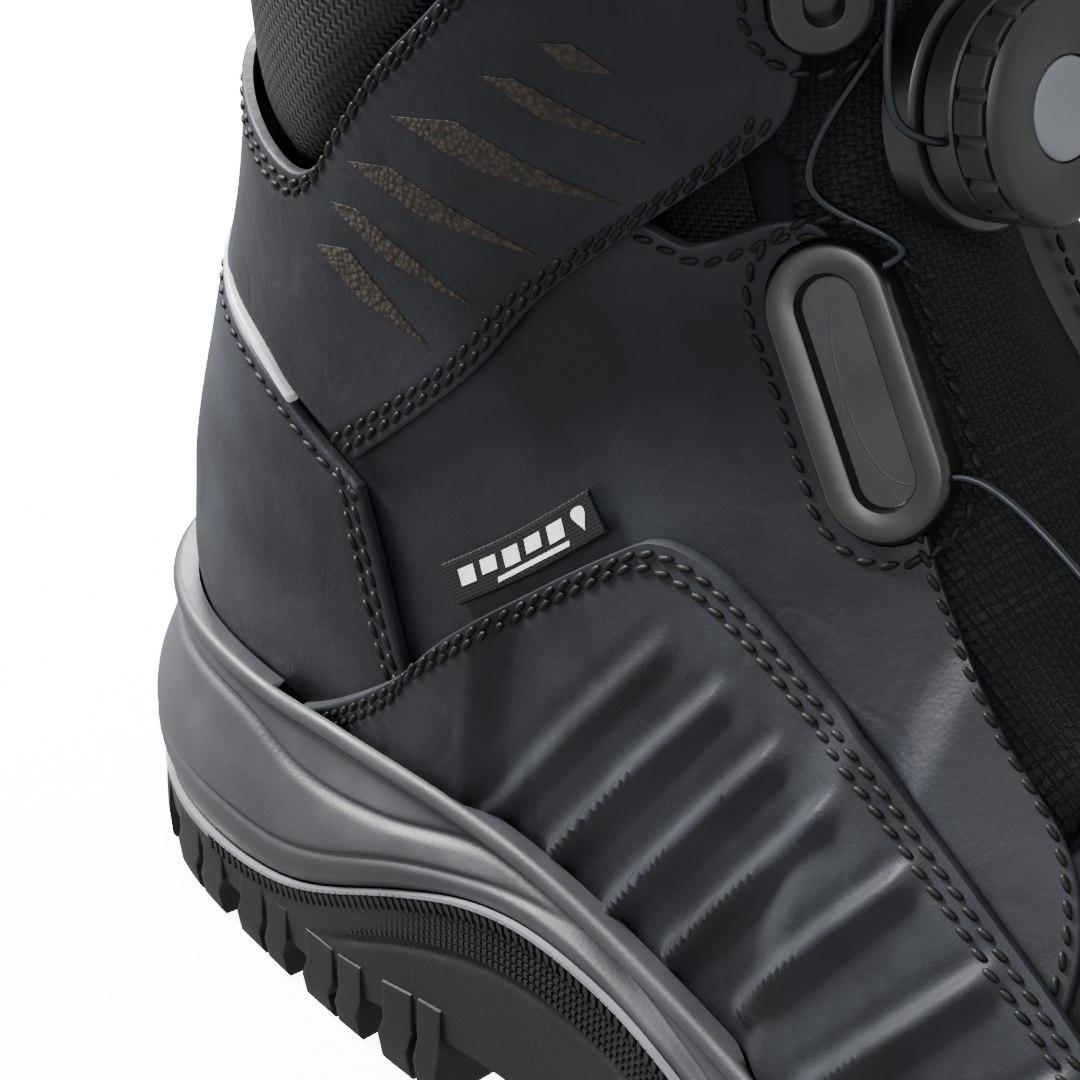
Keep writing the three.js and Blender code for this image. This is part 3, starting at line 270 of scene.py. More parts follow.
LINING = woven_cloth("lining textile, knitted", "#1c1e22", "#34373d", 0.0012, 0.9, 0.00015)
WIRE_COATED = metal("coated steel wire", "#3a3c40", 0.36, 0.0003)
THREAD = waxed_thread("bonded nylon thread")
TAB = woven_cloth("woven tab, damask", "#0a0a0b", "#1b1c1e", 0.0005, 0.5, 0.00005)
TAB_PRINT = moulded("woven tab yarn, pale", "#c8cacc", "#e3e4e6", 0.45, 0.6, 0.0003, 0.00003, 0.003)


# ------------------------------------------------------------------ the last
# Bx, Bz, Tx, Tz, half width lateral and medial, sideways shift, fullness, corner powers: each row is
# a closed section from B, its lowest or rearmost point, to T, its highest or foremost one.
SECTIONS = np.array([
    [302, 30, 302, 38, 0.2, 0.2, 7.0, 0.45, 2.6, 2.2],
    [299, 27, 299, 51, 18, 16, 6.6, 0.40, 2.8, 2.2],
    [290, 25, 290, 65, 33, 29, 6.0, 0.36, 3.0, 2.3],
    [272, 24, 272, 76, 45, 40, 5.0, 0.34, 3.2, 2.4],
    [245, 23, 245, 80, 51, 47, 3.5, 0.32, 3.4, 2.3],
    [210, 23, 212, 88, 53, 49, 1.5, 0.32, 3.4, 2.1],
    [170, 24, 183, 103, 49, 45, 0.0, 0.34, 3.2, 2.0],
    [128, 26, 162, 120, 43, 39, 0.0, 0.36, 3.0, 2.0],
    [85, 29, 148, 135, 39, 36.5, 0.0, 0.36, 3.0, 2.0],
    [42, 32, 140, 145, 38, 36.5, 0.0, 0.36, 2.8, 2.0],
    [9, 38, 135, 154, 37.5, 36.5, 0.0, 0.38, 2.5, 2.0],
    [3, 62, 131, 164, 37.5, 36.5, 0.0, 0.40, 2.3, 2.0],
    [7.5, 90, 128, 174, 38.5, 37.5, 0.0, 0.42, 2.2, 2.0],
    [13, 118, 125.5, 184, 40, 39, 0.0, 0.44, 2.1, 2.1],
    [14, 145, 123.5, 194, 41.5, 41, 0.0, 0.46, 2.1, 2.1],
    [11.5, 170, 122, 204, 43, 42.5, 0.0, 0.47, 2.1, 2.1],
    [8, 195, 121, 214, 44.5, 44, 0.0, 0.48, 2.1, 2.1],
    [4.5, 220, 120, 224, 46, 45.5, 0.0, 0.48, 2.1, 2.1],
])
HEEL_SECTION = 10
LAST_SECTION = len(SECTIONS) - 1
LEATHER_WALL = 1.6
PLY_GAP = 0.6
PLY = LEATHER_WALL + PLY_GAP
TOUCH = 0.3
TONGUE_TOP = -3 * PLY_GAP - 1.0   # the tongue's outer face, under the quarters
LATERAL, MEDIAL = -1, 1


def section_at(t):
    """Section values at t, on a smooth curve through the rows."""
    t = np.clip(np.asarray(t, float), 0, LAST_SECTION)
    i = np.minimum(np.floor(t).astype(int), LAST_SECTION - 1)
    f = (t - i)[..., None]
    p1, p2 = SECTIONS[i], SECTIONS[i + 1]
    before = 2 * p1 - p2
    before[..., [0, 2]] = p2[..., [0, 2]]
    p0 = np.where((i > 0)[..., None], SECTIONS[np.maximum(i - 1, 0)], before)
    p3 = np.where((i < LAST_SECTION - 1)[..., None], SECTIONS[np.minimum(i + 2, LAST_SECTION)], 2 * p2 - p1)
    d1, d2 = (p2 - p0) / 2, (p3 - p1) / 2
    return (((2 * (p1 - p2) + d1 + d2) * f + 3 * (p2 - p1) - 2 * d1 - d2) * f + d1) * f + p1


def last_point(t, a):
    """A point of the last: a runs from 0 at B over the medial side to pi at T and back."""
    t, a = np.broadcast_arrays(np.asarray(t, float), np.asarray(a, float))
    rows = np.moveaxis(section_at(t), -1, 0)
    bx, bz, tx, tz, lateral, medial, shift, full, lower, upper = rows
    turn = a - ROUND * np.round(a / ROUND)
    c, s = np.cos(turn), np.abs(np.sin(turn))
    power = 2 / np.where(c > 0, lower, upper)
    swing = np.abs(c) ** power
    g = np.where(c > 0, full * (1 - swing), full + (1 - full) * swing)
    y = shift + np.where(turn < 0, -lateral, medial) * s ** power
    return np.stack([bx + (tx - bx) * g, y, bz + (tz - bz) * g], -1)


def last_normal(t, a):
    """Outward normal of the last."""
    t, a = np.broadcast_arrays(np.asarray(t, float), np.asarray(a, float))
    along_t = last_point(np.minimum(t + 0.03, LAST_SECTION), a) - last_point(np.maximum(t - 0.03, 0), a)
    along_a = last_point(t, a + 0.05) - last_point(t, a - 0.05)
    n = np.cross(along_t, along_a)
    return n / np.maximum(np.linalg.norm(n, axis=-1, keepdims=True), 1e-12)


def on_last(places, off=0.0):
    """Points at places (t, a) of the last, moved out along its normal by off."""
    t, a = places[..., 0], places[..., 1]
    return last_point(t, a) + last_normal(t, a) * np.broadcast_to(off, t.shape)[..., None]


FINE_T = np.arange(0, LAST_SECTION + 0.005, 0.01)
FINE_SECTIONS = section_at(FINE_T)


def place_at(points):
    """Places on the medial half for side-view points (x, z)."""
    found = []
    for x, z in np.atleast_2d(points):
        bx, bz, tx, tz = FINE_SECTIONS[:, :4].T
        across = (tx - bx) * (z - bz) - (tz - bz) * (x - bx)
        k = np.nonzero(across[:-1] * across[1:] <= 0)[0]
        t = FINE_T[k] + 0.01 * across[k] / (across[k] - across[k + 1] + 1e-12)
        rows = section_at(t)
        run, rise = rows[:, 2] - rows[:, 0], rows[:, 3] - rows[:, 1]
        g = ((x - rows[:, 0]) * run + (z - rows[:, 1]) * rise) / (run ** 2 + rise ** 2)
        best = np.argmin(np.maximum(0, np.maximum(-g, g - 1)))
        full, lower, upper = rows[best, 7:10]
        g = min(max(g[best], 0), 1)
        if g <= full:
            a = math.acos(min(1, (1 - g / full) ** (lower / 2)))
        else:
            a = math.pi - math.acos(min(1, ((g - full) / (1 - full)) ** (upper / 2)))
        found.append((t[best], a))
    return np.array(found)


def back_line(z):
    """The place at a height on the line down the back of the heel."""
    rows = FINE_T >= HEEL_SECTION
    return (float(np.interp(z, FINE_SECTIONS[rows, 1], FINE_T[rows])), 0.0)


def front_line(z):
    """The place at a height on the line over the instep and toe."""
    return (float(np.interp(z, FINE_SECTIONS[:, 3], FINE_T)), math.pi)


def smooth(low, high, x):
    """0 up to low, 1 from high, and an eased step between."""
    f = np.clip((np.asarray(x, float) - low) / (high - low), 0, 1)
    return f * f * (3 - 2 * f)


def levels(points):
    """A smooth height along the boot through (x, height) pairs."""
    p = np.array(points, float)

    def at(x):
        x = np.clip(np.asarray(x, float), p[0, 0], p[-1, 0])
        k = np.clip(np.searchsorted(p[:, 0], x) - 1, 0, len(p) - 2)
        h = p[k + 1, 0] - p[k, 0]
        f = (x - p[k, 0]) / h
        before, after = p[np.maximum(k - 1, 0)], p[np.minimum(k + 2, len(p) - 1)]
        d1 = (p[k + 1, 1] - before[..., 1]) / (p[k + 1, 0] - before[..., 0]) * h
        d2 = (after[..., 1] - p[k, 1]) / (after[..., 0] - p[k, 0]) * h
        a = 2 * (p[k, 1] - p[k + 1, 1]) + d1 + d2
        b = 3 * (p[k + 1, 1] - p[k, 1]) - 2 * d1 - d2
        return ((a * f + b) * f + d1) * f + p[k, 1]
    return at


RIM = levels([[5, 50], [40, 50], [60, 53], [85, 55], [108, 54.5], [146, 49.5], [180, 45], [215, 42],
              [250, 41], [280, 44], [302, 48]])
OUTSOLE_TOP = levels([[0, 14.5], [34, 15.5], [52, 20], [76, 34], [90, 41], [103, 44.5], [116, 45],
                      [129, 43.5], [150, 37], [172, 28], [195, 22], [225, 19], [260, 21], [302, 31]])
OUTSOLE_FLOOR = levels([[0, 9], [62, 9], [84, 13], [104, 15.5], [122, 14], [146, 9], [235, 8.5],
                        [270, 10.5], [302, 18]])
ROLL = levels([[0, 3], [12, 0], [20, 0], [245, 0], [262, 0.4], [285, 4], [302, 9]])


def side_layer(x):
    """How much leather lies between the last and the sole's rim."""
    counter = np.where(x > 44, 1 - smooth(85, 93, x), 0)
    vamp_seam = smooth(143, 151, x) * (1 - smooth(194, 202, x))
    return PLY * (1 + np.maximum(counter, vamp_seam))


# ------------------------------------------------------------------ seams and panels
def spline(points, dense):
    """A smooth side-view line through its points."""
    p = np.array(points, float)
    f = dense * (len(p) - 1)
    i = np.minimum(np.floor(f).astype(int), len(p) - 2)
    w = (f - i)[:, None]
    p0, p3 = p[np.maximum(i - 1, 0)], p[np.minimum(i + 2, len(p) - 1)]
    p1, p2 = p[i], p[i + 1]
    v0, v1 = (p2 - p0) / 2, (p3 - p1) / 2
    return (((2 * (p1 - p2) + v0 + v1) * w + 3 * (p2 - p1) - 2 * v0 - v1) * w + v0) * w + p1


def seam(side, points, count=80):
    """A seam as places. Ends may be places on the back or front line, as a tuple of (t, angle)."""
    ends = [isinstance(points[k], tuple) for k in (0, -1)]
    marks = []
    for p in points:
        if isinstance(p, tuple):
            row = section_at(p[0])
            marks.append(row[:2] if p[1] == 0 else row[2:4])
        else:
            marks.append(p)
    f = np.linspace(0, 1, count + 1)
    if ends[0]:
        f = f ** 2
    if ends[1]:
        f = 1 - (1 - f) ** 2
    row = place_at(spline(marks, f))
    if ends[0]:
        row[0] = points[0]
    if ends[1]:
        row[-1] = points[-1]
    return row * [1, side]


def over_back(half):
    """A seam over the heel, from the half of it that ends on the back line."""
    return np.vstack([half * [1, -1], half[-2::-1]])


def over_front(half):
    """A seam over the instep, from the half of it that ends on the front line."""
    return np.vstack([half, np.column_stack([half[-2::-1, 0], ROUND - half[-2::-1, 1]])])


def across(t, start, stop, count=40):
    """A seam within one section, between two angles."""
    return np.column_stack([np.full(count + 1, t), np.linspace(start, stop, count + 1)])


def along(a, start, stop, count=40):
    """A seam at one angle, between two sections."""
    return np.column_stack([np.linspace(start, stop, count + 1), np.full(count + 1, a)])


def run_of(points):
    """The running length at each point of a line."""
    return np.concatenate([[0], np.cumsum(np.linalg.norm(np.diff(points, axis=0), axis=1))])


def resample(row, fractions):
    """Places at shares of a seam's length."""
    run = run_of(last_point(row[:, 0], row[:, 1]))
    goal = fractions * run[-1]
    return np.column_stack([np.interp(goal, run, row[:, c]) for c in (0, 1)])


def stops(length, pitch):
    """Even steps, with closer ones at both ends to turn an edge over."""
    edge = [0, 0.12, 0.35, 0.75]
    inner = np.linspace(1.4, length - 1.4, max(3, int(round(length / pitch))))
    return np.concatenate([edge, inner, length - np.array(edge[::-1])]) / length


class Panel:
    """A patch of the last between four seams, with its distances to them in mm."""

    def __init__(self, south, north, west, east, pitch=0.9):
        sides = [south, north, west, east]
        lengths = [run_of(last_point(r[:, 0], r[:, 1]))[-1] for r in sides]
        fu = stops(max(lengths[0], lengths[1], 6), pitch)
        fv = stops(max(lengths[2], lengths[3], 6), pitch)
        s, n = resample(south, fu)[:, None], resample(north, fu)[:, None]
        w, e = resample(west, fv)[None], resample(east, fv)[None]
        u, v = fu[:, None, None], fv[None, :, None]
        self.grid = ((1 - v) * s + v * n + (1 - u) * w + u * e - (1 - u) * (1 - v) * s[:1]
                     - u * (1 - v) * s[-1:] - (1 - u) * v * n[:1] - u * v * n[-1:])
        self.u, self.v = np.broadcast_arrays(fu[:, None], fv[None, :])
        self.base = last_point(self.grid[..., 0], self.grid[..., 1])
        self.normal = last_normal(self.grid[..., 0], self.grid[..., 1])
        steps_u = np.linalg.norm(np.diff(self.base, axis=0), axis=-1)
        steps_v = np.linalg.norm(np.diff(self.base, axis=1), axis=-1)
        run_u = np.vstack([np.zeros((1, steps_u.shape[1])), np.cumsum(steps_u, 0)])
        run_v = np.hstack([np.zeros((steps_v.shape[0], 1)), np.cumsum(steps_v, 1)])
        self.far = {"west": run_u, "east": run_u[-1:] - run_u, "south": run_v, "north": run_v[:, -1:] - run_v}
        self.weave = np.stack([run_u - run_u[-1:] / 2, run_v, 0 * run_u], -1)
        self.outer = np.zeros(self.u.shape)

    def edge(self, radius, names=("west", "east", "south", "north")):
        """How far the surface drops near the named edges, so that they are turned over."""
        d = np.minimum.reduce([self.far[n] for n in names])
        return np.where(d < radius, radius - np.sqrt(np.maximum(0, radius ** 2 - (radius - d) ** 2)), 0)

    def line(self, edge, distance, trim=(1.5, 1.5), lift=0.0):
        """Points and normals at a distance inside an edge, ends trimmed, on the outer face."""
        by_column = edge in ("south", "north")
        far = self.far[edge] if by_column else self.far[edge].T
        fields = [self.grid[..., 0], self.grid[..., 1], self.outer]
        fields = fields if by_column else [f.T for f in fields]
        rows = []
        for k in range(far.shape[0]):
            order = np.argsort(far[k])
            rows.append([np.interp(distance, far[k][order], f[k][order]) for f in fields])
        rows = np.array(rows)
        points = on_last(rows[:, :2], rows[:, 2] + lift)
        run = run_of(points)
        keep = (run >= trim[0]) & (run <= run[-1] - trim[1])
        return points[keep], last_normal(rows[keep, 0], rows[keep, 1])


def noise(points, size, seed):
    """Smooth noise from -1 to 1 with features of a given size, in mm."""
    table = np.random.default_rng(seed).uniform(-1, 1, (32, 32, 32))
    q = np.asarray(points) / size + 100
    i = np.floor(q).astype(int)
    f = q - i
    f = f * f * (3 - 2 * f)
    total = 0
    for dx in (0, 1):
        for dy in (0, 1):
            for dz in (0, 1):
                weight = (np.where(dx, f[..., 0], 1 - f[..., 0]) * np.where(dy, f[..., 1], 1 - f[..., 1])
                          * np.where(dz, f[..., 2], 1 - f[..., 2]))
                total = total + weight * table[(i[..., 0] + dx) % 32, (i[..., 1] + dy) % 32,
                                               (i[..., 2] + dz) % 32]
    return total


def hide_relief(points):
    """How a hide lies on the last: slow swells and a few soft creases."""
    swell = 0.22 * noise(points, 26, 3) + 0.1 * noise(points, 9, 5)
    crease = np.abs(noise(points * [1, 1, 1.6], 15, 11))
    return swell - 0.12 * np.exp(-(crease / 0.05) ** 2)


def pinch(panel, rows):
    """Thread pulls the leather in along rows of (edge, distance)."""
    total = np.zeros(panel.u.shape)
    for edge, distance in rows:
        total -= 0.28 * np.exp(-((panel.far[edge] - distance) / 0.75) ** 2)
    return total


# ------------------------------------------------------------------ making pieces
def to_frame(points):
    """Points in mm from the heel, in the shared frame's metres."""
    return (np.asarray(points, float) + HEEL) * MM


def finish_piece(obj, material, slot, replaces=(), body="boot"):
    """Gives a piece its finish and its body, and hides the modelled nodes it stands for; the slot is not
    used.
    """
    obj.data.materials.clear()
    obj.data.materials.append(material)
    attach(obj, body)
    if replaces:
        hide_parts(*replaces)
    return obj


def make_mesh(name, points, faces, weave=None, sharp=50):
    """A closed mesh in the shared frame from points in mm, facing out."""
    mesh = bpy.data.meshes.new(name)
    mesh.from_pydata(to_frame(points).tolist(), [], faces)
    if weave is not None:
        attribute = mesh.attributes.new("weave", "FLOAT_VECTOR", "POINT")
        attribute.data.foreach_set("vector", (np.asarray(weave, float) * MM).ravel())
    tidy = bmesh.new()
    tidy.from_mesh(mesh)
    bmesh.ops.remove_doubles(tidy, verts=tidy.verts, dist=1e-7)
    bmesh.ops.recalc_face_normals(tidy, faces=tidy.faces)
    tidy.to_mesh(mesh)
    tidy.free()
    mesh.shade_smooth()
    mesh.set_sharp_from_angle(angle=math.radians(sharp))
    obj = bpy.data.objects.new(name, mesh)
    scene.collection.objects.link(obj)
    return obj


def shell_faces(columns, rows):
    """Faces of a closed shell: an outer grid, an inner grid and the walls between them."""
    ids = np.arange(columns * rows).reshape(columns, rows)
    lower = ids + columns * rows

    def quads(a):
        return np.stack([a[:-1, :-1], a[1:, :-1], a[1:, 1:], a[:-1, 1:]], -1).reshape(-1, 4)
    faces = [quads(ids), quads(lower)[:, ::-1]]
    for line, under in ((ids[:, 0], lower[:, 0]), (ids[:, -1], lower[:, -1]), (ids[0], lower[0]),
                        (ids[-1], lower[-1])):
        faces.append(np.stack([line[:-1], line[1:], under[1:], under[:-1]], -1))
    return np.vstack(faces).tolist()


def panel_piece(name, panel, inner, material, slot, replaces=()):
    """A closed panel between its inner and outer faces."""
    outer = panel.base + panel.normal * panel.outer[..., None]
    low = panel.base + panel.normal * np.broadcast_to(inner, panel.u.shape)[..., None]
    points = np.vstack([outer.reshape(-1, 3), low.reshape(-1, 3)])
    weave = np.vstack([panel.weave.reshape(-1, 3)] * 2)
    obj = make_mesh(name, points, shell_faces(*panel.u.shape), weave)
    return finish_piece(obj, material, slot, replaces)


def plain_mesh(obj):
    """The evaluated mesh replaces the object's own, and its modifiers go."""
    bpy.context.view_layer.update()
    made = bpy.data.meshes.new_from_object(obj.evaluated_get(bpy.context.evaluated_depsgraph_get()))
    old = obj.data
    obj.modifiers.clear()
    obj.data = made
    bpy.data.meshes.remove(old)


def band_faces(count, bands):
    """Faces between closed rings of count points, joined in turn."""
    faces = []
    for start in range(0, bands * count, count):
        for i in range(count):
            j = (i + 1) % count
            faces.append([start + i, start + j, start + count + j, start + count + i])
    return faces


# ------------------------------------------------------------------ upper
LASTED = 5.5            # how far the leather goes down inside the sole's rim
HIDE_SWELL = 0.8        # share of the hide's relief that the stretched upper keeps
THREAD_LIFT = 0.14      # a stitch's middle over the leather's face
BACK_SEAM = 0.04        # half the gap at the back line, as an angle
POCKET_CLEARANCE = 0.6  # a guide's window is longer and wider than the guide


def margin(x):
    """The lasted edge of the upper at x, in side view."""
    return [x, float(RIM(x)) - LASTED]


def margin_row(*xs):
    """The lasted edge at several places."""
    return [margin(x) for x in xs]


def quarter_lift(x):
    """How far the quarter rises where it laps over the vamp."""
    return (PLY + TOUCH / 2) * smooth(153, 161, x)


# Ribs pressed into the nubuck, from the sole up: foot, head and height in mm.
RIBS = [((87, 52), (117, 97), 1.3), ((101, 54), (128, 95), 2.0), ((113, 51), (139, 92), 2.2),
        ((126, 52), (150, 90), 2.3), ((141, 53), (164, 87), 2.3), ((156, 50), (179, 81), 2.2),
        ((172, 47), (194, 74), 2.0), ((189, 45), (209, 67), 1.8), ((206, 44), (223, 61), 1.6)]
RIB_EDGE = 0.85    # half width of the crisp rear edge
RIB_BACK = 1.6     # where the back ends and the slope starts
RIB_SLOPE = 4.6    # where the slope ends
RIB_HOLLOW = 0.22  # the dip behind the edge, as a share of the height


def rib_relief(points):
    """Long ribs with a crisp rear edge, a round back and a soft slope towards the toe."""
    x, z = points[..., 0], points[..., 2]
    total = np.zeros(x.shape)
    for (x1, z1), (x2, z2), height in RIBS:
        length = math.hypot(x2 - x1, z2 - z1)
        ux, uz = (x2 - x1) / length, (z2 - z1) / length
        s = (x - x1) * ux + (z - z1) * uz
        d = (x - x1) * uz - (z - z1) * ux
        taper = smooth(-1, 3.5, s) * (1 - smooth(length - 3.5, length + 1, s))
        swell = 0.75 + 0.25 * np.sin(math.pi * np.clip(s / length, 0, 1))
        profile = smooth(-RIB_EDGE, RIB_EDGE, d) * (1 - smooth(RIB_BACK, RIB_SLOPE, d))
        hollow = -RIB_HOLLOW * np.exp(-((d + 1.8) / 1.2) ** 2)
        total += height * taper * swell * (profile + hollow)
    return total


def raise_panel(panel, level, stitched=(), radius=0.7, extra=0.0, names=("west", "east", "south", "north")):
    """Sets the panel's outer face: its layer, the hide's swells, pulled-in seams and turned edges."""
    nearest = np.minimum.reduce(list(panel.far.values()))
    panel.outer = (level + extra + hide_relief(panel.base) * HIDE_SWELL * smooth(0.5, 6, nearest)
                   + pinch(panel, stitched) - panel.edge(radius, names))


stitch_rows = []   # (points, normals) of every row of lockstitch, in mm


def sew(panel, edge, distances, trim=(1.5, 1.5)):
    """Rows of stitches inside an edge, with their ends trimmed, in mm."""
    for distance in distances:
        stitch_rows.append(panel.line(edge, distance, trim, THREAD_LIFT))


vamp_rear = [margin(170), [168, 62], [172, 80], [180, 94], front_line(101)]
vamp_south = seam(MEDIAL, margin_row(301.9, 299, 290, 272, 245, 215, 190, 170))
vamp = Panel(vamp_south, vamp_south * [1, -1] + [0, ROUND],
             across(vamp_south[0, 0], vamp_south[0, 1], ROUND - vamp_south[0, 1]),
             over_front(seam(MEDIAL, vamp_rear)), 1.1)
raise_panel(vamp, LEATHER_WALL, names=("east",))
panel_piece("vamp_leather", vamp, 0.0, LEATHER, "smooth_leather", ["vamp"])

scuff_south = seam(MEDIAL, margin_row(301.9, 299, 290, 272, 250))
scuff = Panel(scuff_south, scuff_south * [1, -1] + [0, ROUND],
              across(scuff_south[0, 0], scuff_south[0, 1], ROUND - scuff_south[0, 1]),
              over_front(seam(MEDIAL, [margin(250), [262, 58], [271, 70], front_line(74)])), 1.1)
raise_panel(scuff, PLY + LEATHER_WALL, [("east", 2.2)], 0.9, names=("east",))
panel_piece("scuff_cover", scuff, PLY - 0.3, RUBBER, "rubber_sole", ["scuff_cap"])
sew(scuff, "east", (2.2, 4.4))

# Streaks etched into the shaft: tip, shoulder and tail of each, in side view.
STREAKS = [((90, 175), (94, 176), (99, 173)), ((82, 168), (87, 169), (102, 164)),
           ((68, 157), (78, 160), (99, 154)), ((60, 147), (67, 149), (89, 143)),
           ((56, 139), (61, 140), (79, 132)), ((53, 131), (59, 133), (72, 123))]
STREAK_WIDTH = 1.89
STREAK_BELLY = 0.42       # where the lower side is deepest, as a share of the length
STREAK_GRID = (41, 6)


def etched_streaks(name, side):
    """Thin leaves on the shaft's face, one closed mesh for all the streaks of a side."""
    points, faces, base = [], [], 0
    for tip, shoulder, tail in STREAKS:
        tip, shoulder, tail = (np.array(p, float) for p in (tip, shoulder, tail))
        run = (tail - tip) / np.linalg.norm(tail - tip)
        drop = np.array([run[1], -run[0]])
        s = np.linspace(0, 1, STREAK_GRID[0])[:, None]
        knee = float(np.dot(shoulder - tip, run) / np.linalg.norm(tail - tip))
        upper = np.where(s < knee, tip + (shoulder - tip) * s / knee,
                         shoulder + (tail - shoulder) * (s - knee) / (1 - knee))
        depth = np.minimum(s / STREAK_BELLY, (1 - s) / (1 - STREAK_BELLY))
        lower = tip + (tail - tip) * s + drop * STREAK_WIDTH * depth
        v = np.linspace(0, 1, STREAK_GRID[1])[None, :, None]
        flat = upper[:, None] * (1 - v) + lower[:, None] * v
        grid = place_at(flat.reshape(-1, 2)).reshape(*STREAK_GRID, 2) * [1, side]
        face = PLY + LEATHER_WALL + HIDE_SWELL * hide_relief(on_last(grid))
        outer, inner = on_last(grid, face + 0.16), on_last(grid, face - 0.4)
        points += [outer.reshape(-1, 3), inner.reshape(-1, 3)]
        faces += (np.array(shell_faces(*STREAK_GRID)) + base).tolist()
        base += 2 * grid.shape[0] * grid.shape[1]
    obj = make_mesh(name, np.vstack(points), faces)
    return finish_piece(obj, ETCHED, "smooth_leather")


def frame_at(place, towards, off=0.0):
    """A frame on the upper: z outwards at a place, x towards a second place, in mm."""
    z = last_normal(*place)
    x = last_point(*towards) - last_point(*place)
    x = x - z * x.dot(z)
    x /= np.linalg.norm(x)
    return x, np.cross(z, x), z, last_point(*place) + z * off


def in_frame(axes, x, y, z):
    """A point at (x, y, z) of a frame."""
    return axes[3] + axes[0] * x + axes[1] * y + axes[2] * z


NUDGE = 0.01   # step of a place, to find how its point moves


def project(axes, place, flat):
    """Places whose points lie at (x, y) in a frame near a place."""
    places = np.tile(np.array(place, float), (len(flat), 1))
    for _ in range(14):
        here = on_last(places, LEATHER_WALL) - axes[3]
        miss = flat - np.column_stack([here @ axes[0], here @ axes[1]])
        step = []
        for k in (0, 1):
            moved = places.copy()
            moved[:, k] += NUDGE
            change = (on_last(moved, LEATHER_WALL) - axes[3] - here) / NUDGE
            step.append(np.column_stack([change @ axes[0], change @ axes[1]]))
        (a, c), (b, d) = step[0].T, step[1].T
        det = a * d - b * c
        places[:, 0] += np.clip((d * miss[:, 0] - b * miss[:, 1]) / det, -0.3, 0.3)
        places[:, 1] += np.clip((a * miss[:, 1] - c * miss[:, 0]) / det, -0.2, 0.2)
    return places


def stadium(length, width, count=96):
    """A closed outline with round ends, in mm."""
    r, half = width / 2, (length - width) / 2
    angle = np.linspace(0, ROUND, count, endpoint=False)
    x = r * np.cos(angle) + half * np.sign(np.cos(angle))
    outline = np.column_stack([x, r * np.sin(angle)])
    closed = np.vstack([outline, outline[:1]])
    run = run_of(closed)
    even = np.linspace(0, run[-1], count + 1)
    return np.column_stack([np.interp(even, run, closed[:, c]) for c in (0, 1)])


def cut_pocket(obj, axes, length, width):
    """Cuts a window with round ends through a panel."""
    outline = stadium(length, width, 48)[:-1]
    n = len(outline)
    points = [in_frame(axes, x, y, z) for z in (-9, 14) for x, y in outline]
    faces = band_faces(n, 1) + [list(range(n))[::-1], list(range(n, 2 * n))]
    tool = make_mesh("pocket_tool", points, faces)
    cut = obj.modifiers.new("pocket", "BOOLEAN")
    cut.operation = "DIFFERENCE"
    cut.solver = "EXACT"
    cut.object = tool
    plain_mesh(obj)
    bpy.data.objects.remove(tool)
    obj.data.set_sharp_from_angle(angle=math.radians(50))


# Where each guide sits and points, in side view, and its length and width.
GUIDE = {"lower": ([131, 134], [141, 122], 40.0, 17.0), "upper": ([116.5, 191], [118.5, 177], 26.4, 13.6)}


def guide_frame(which, side):
    """A guide's frame, its place, its length and its width."""
    at, towards, length, width = GUIDE[which]
    marks = place_at([at, towards]) * [1, side]
    return frame_at(marks[0], marks[1]), marks[0], length, width


def sew_round(axes, place, length, width, out, level):
    """A stitch row round a pocket, on the face of the panel."""
    flat = stadium(length + 2 * out, width + 2 * out)
    places = project(axes, place, flat)
    bare = on_last(places)
    lift = quarter_lift(bare[:, 0]) if level == LEATHER_WALL else 0
    off = level + HIDE_SWELL * hide_relief(bare) + THREAD_LIFT + lift
    stitch_rows.append((on_last(places, off), last_normal(places[:, 0], places[:, 1])))


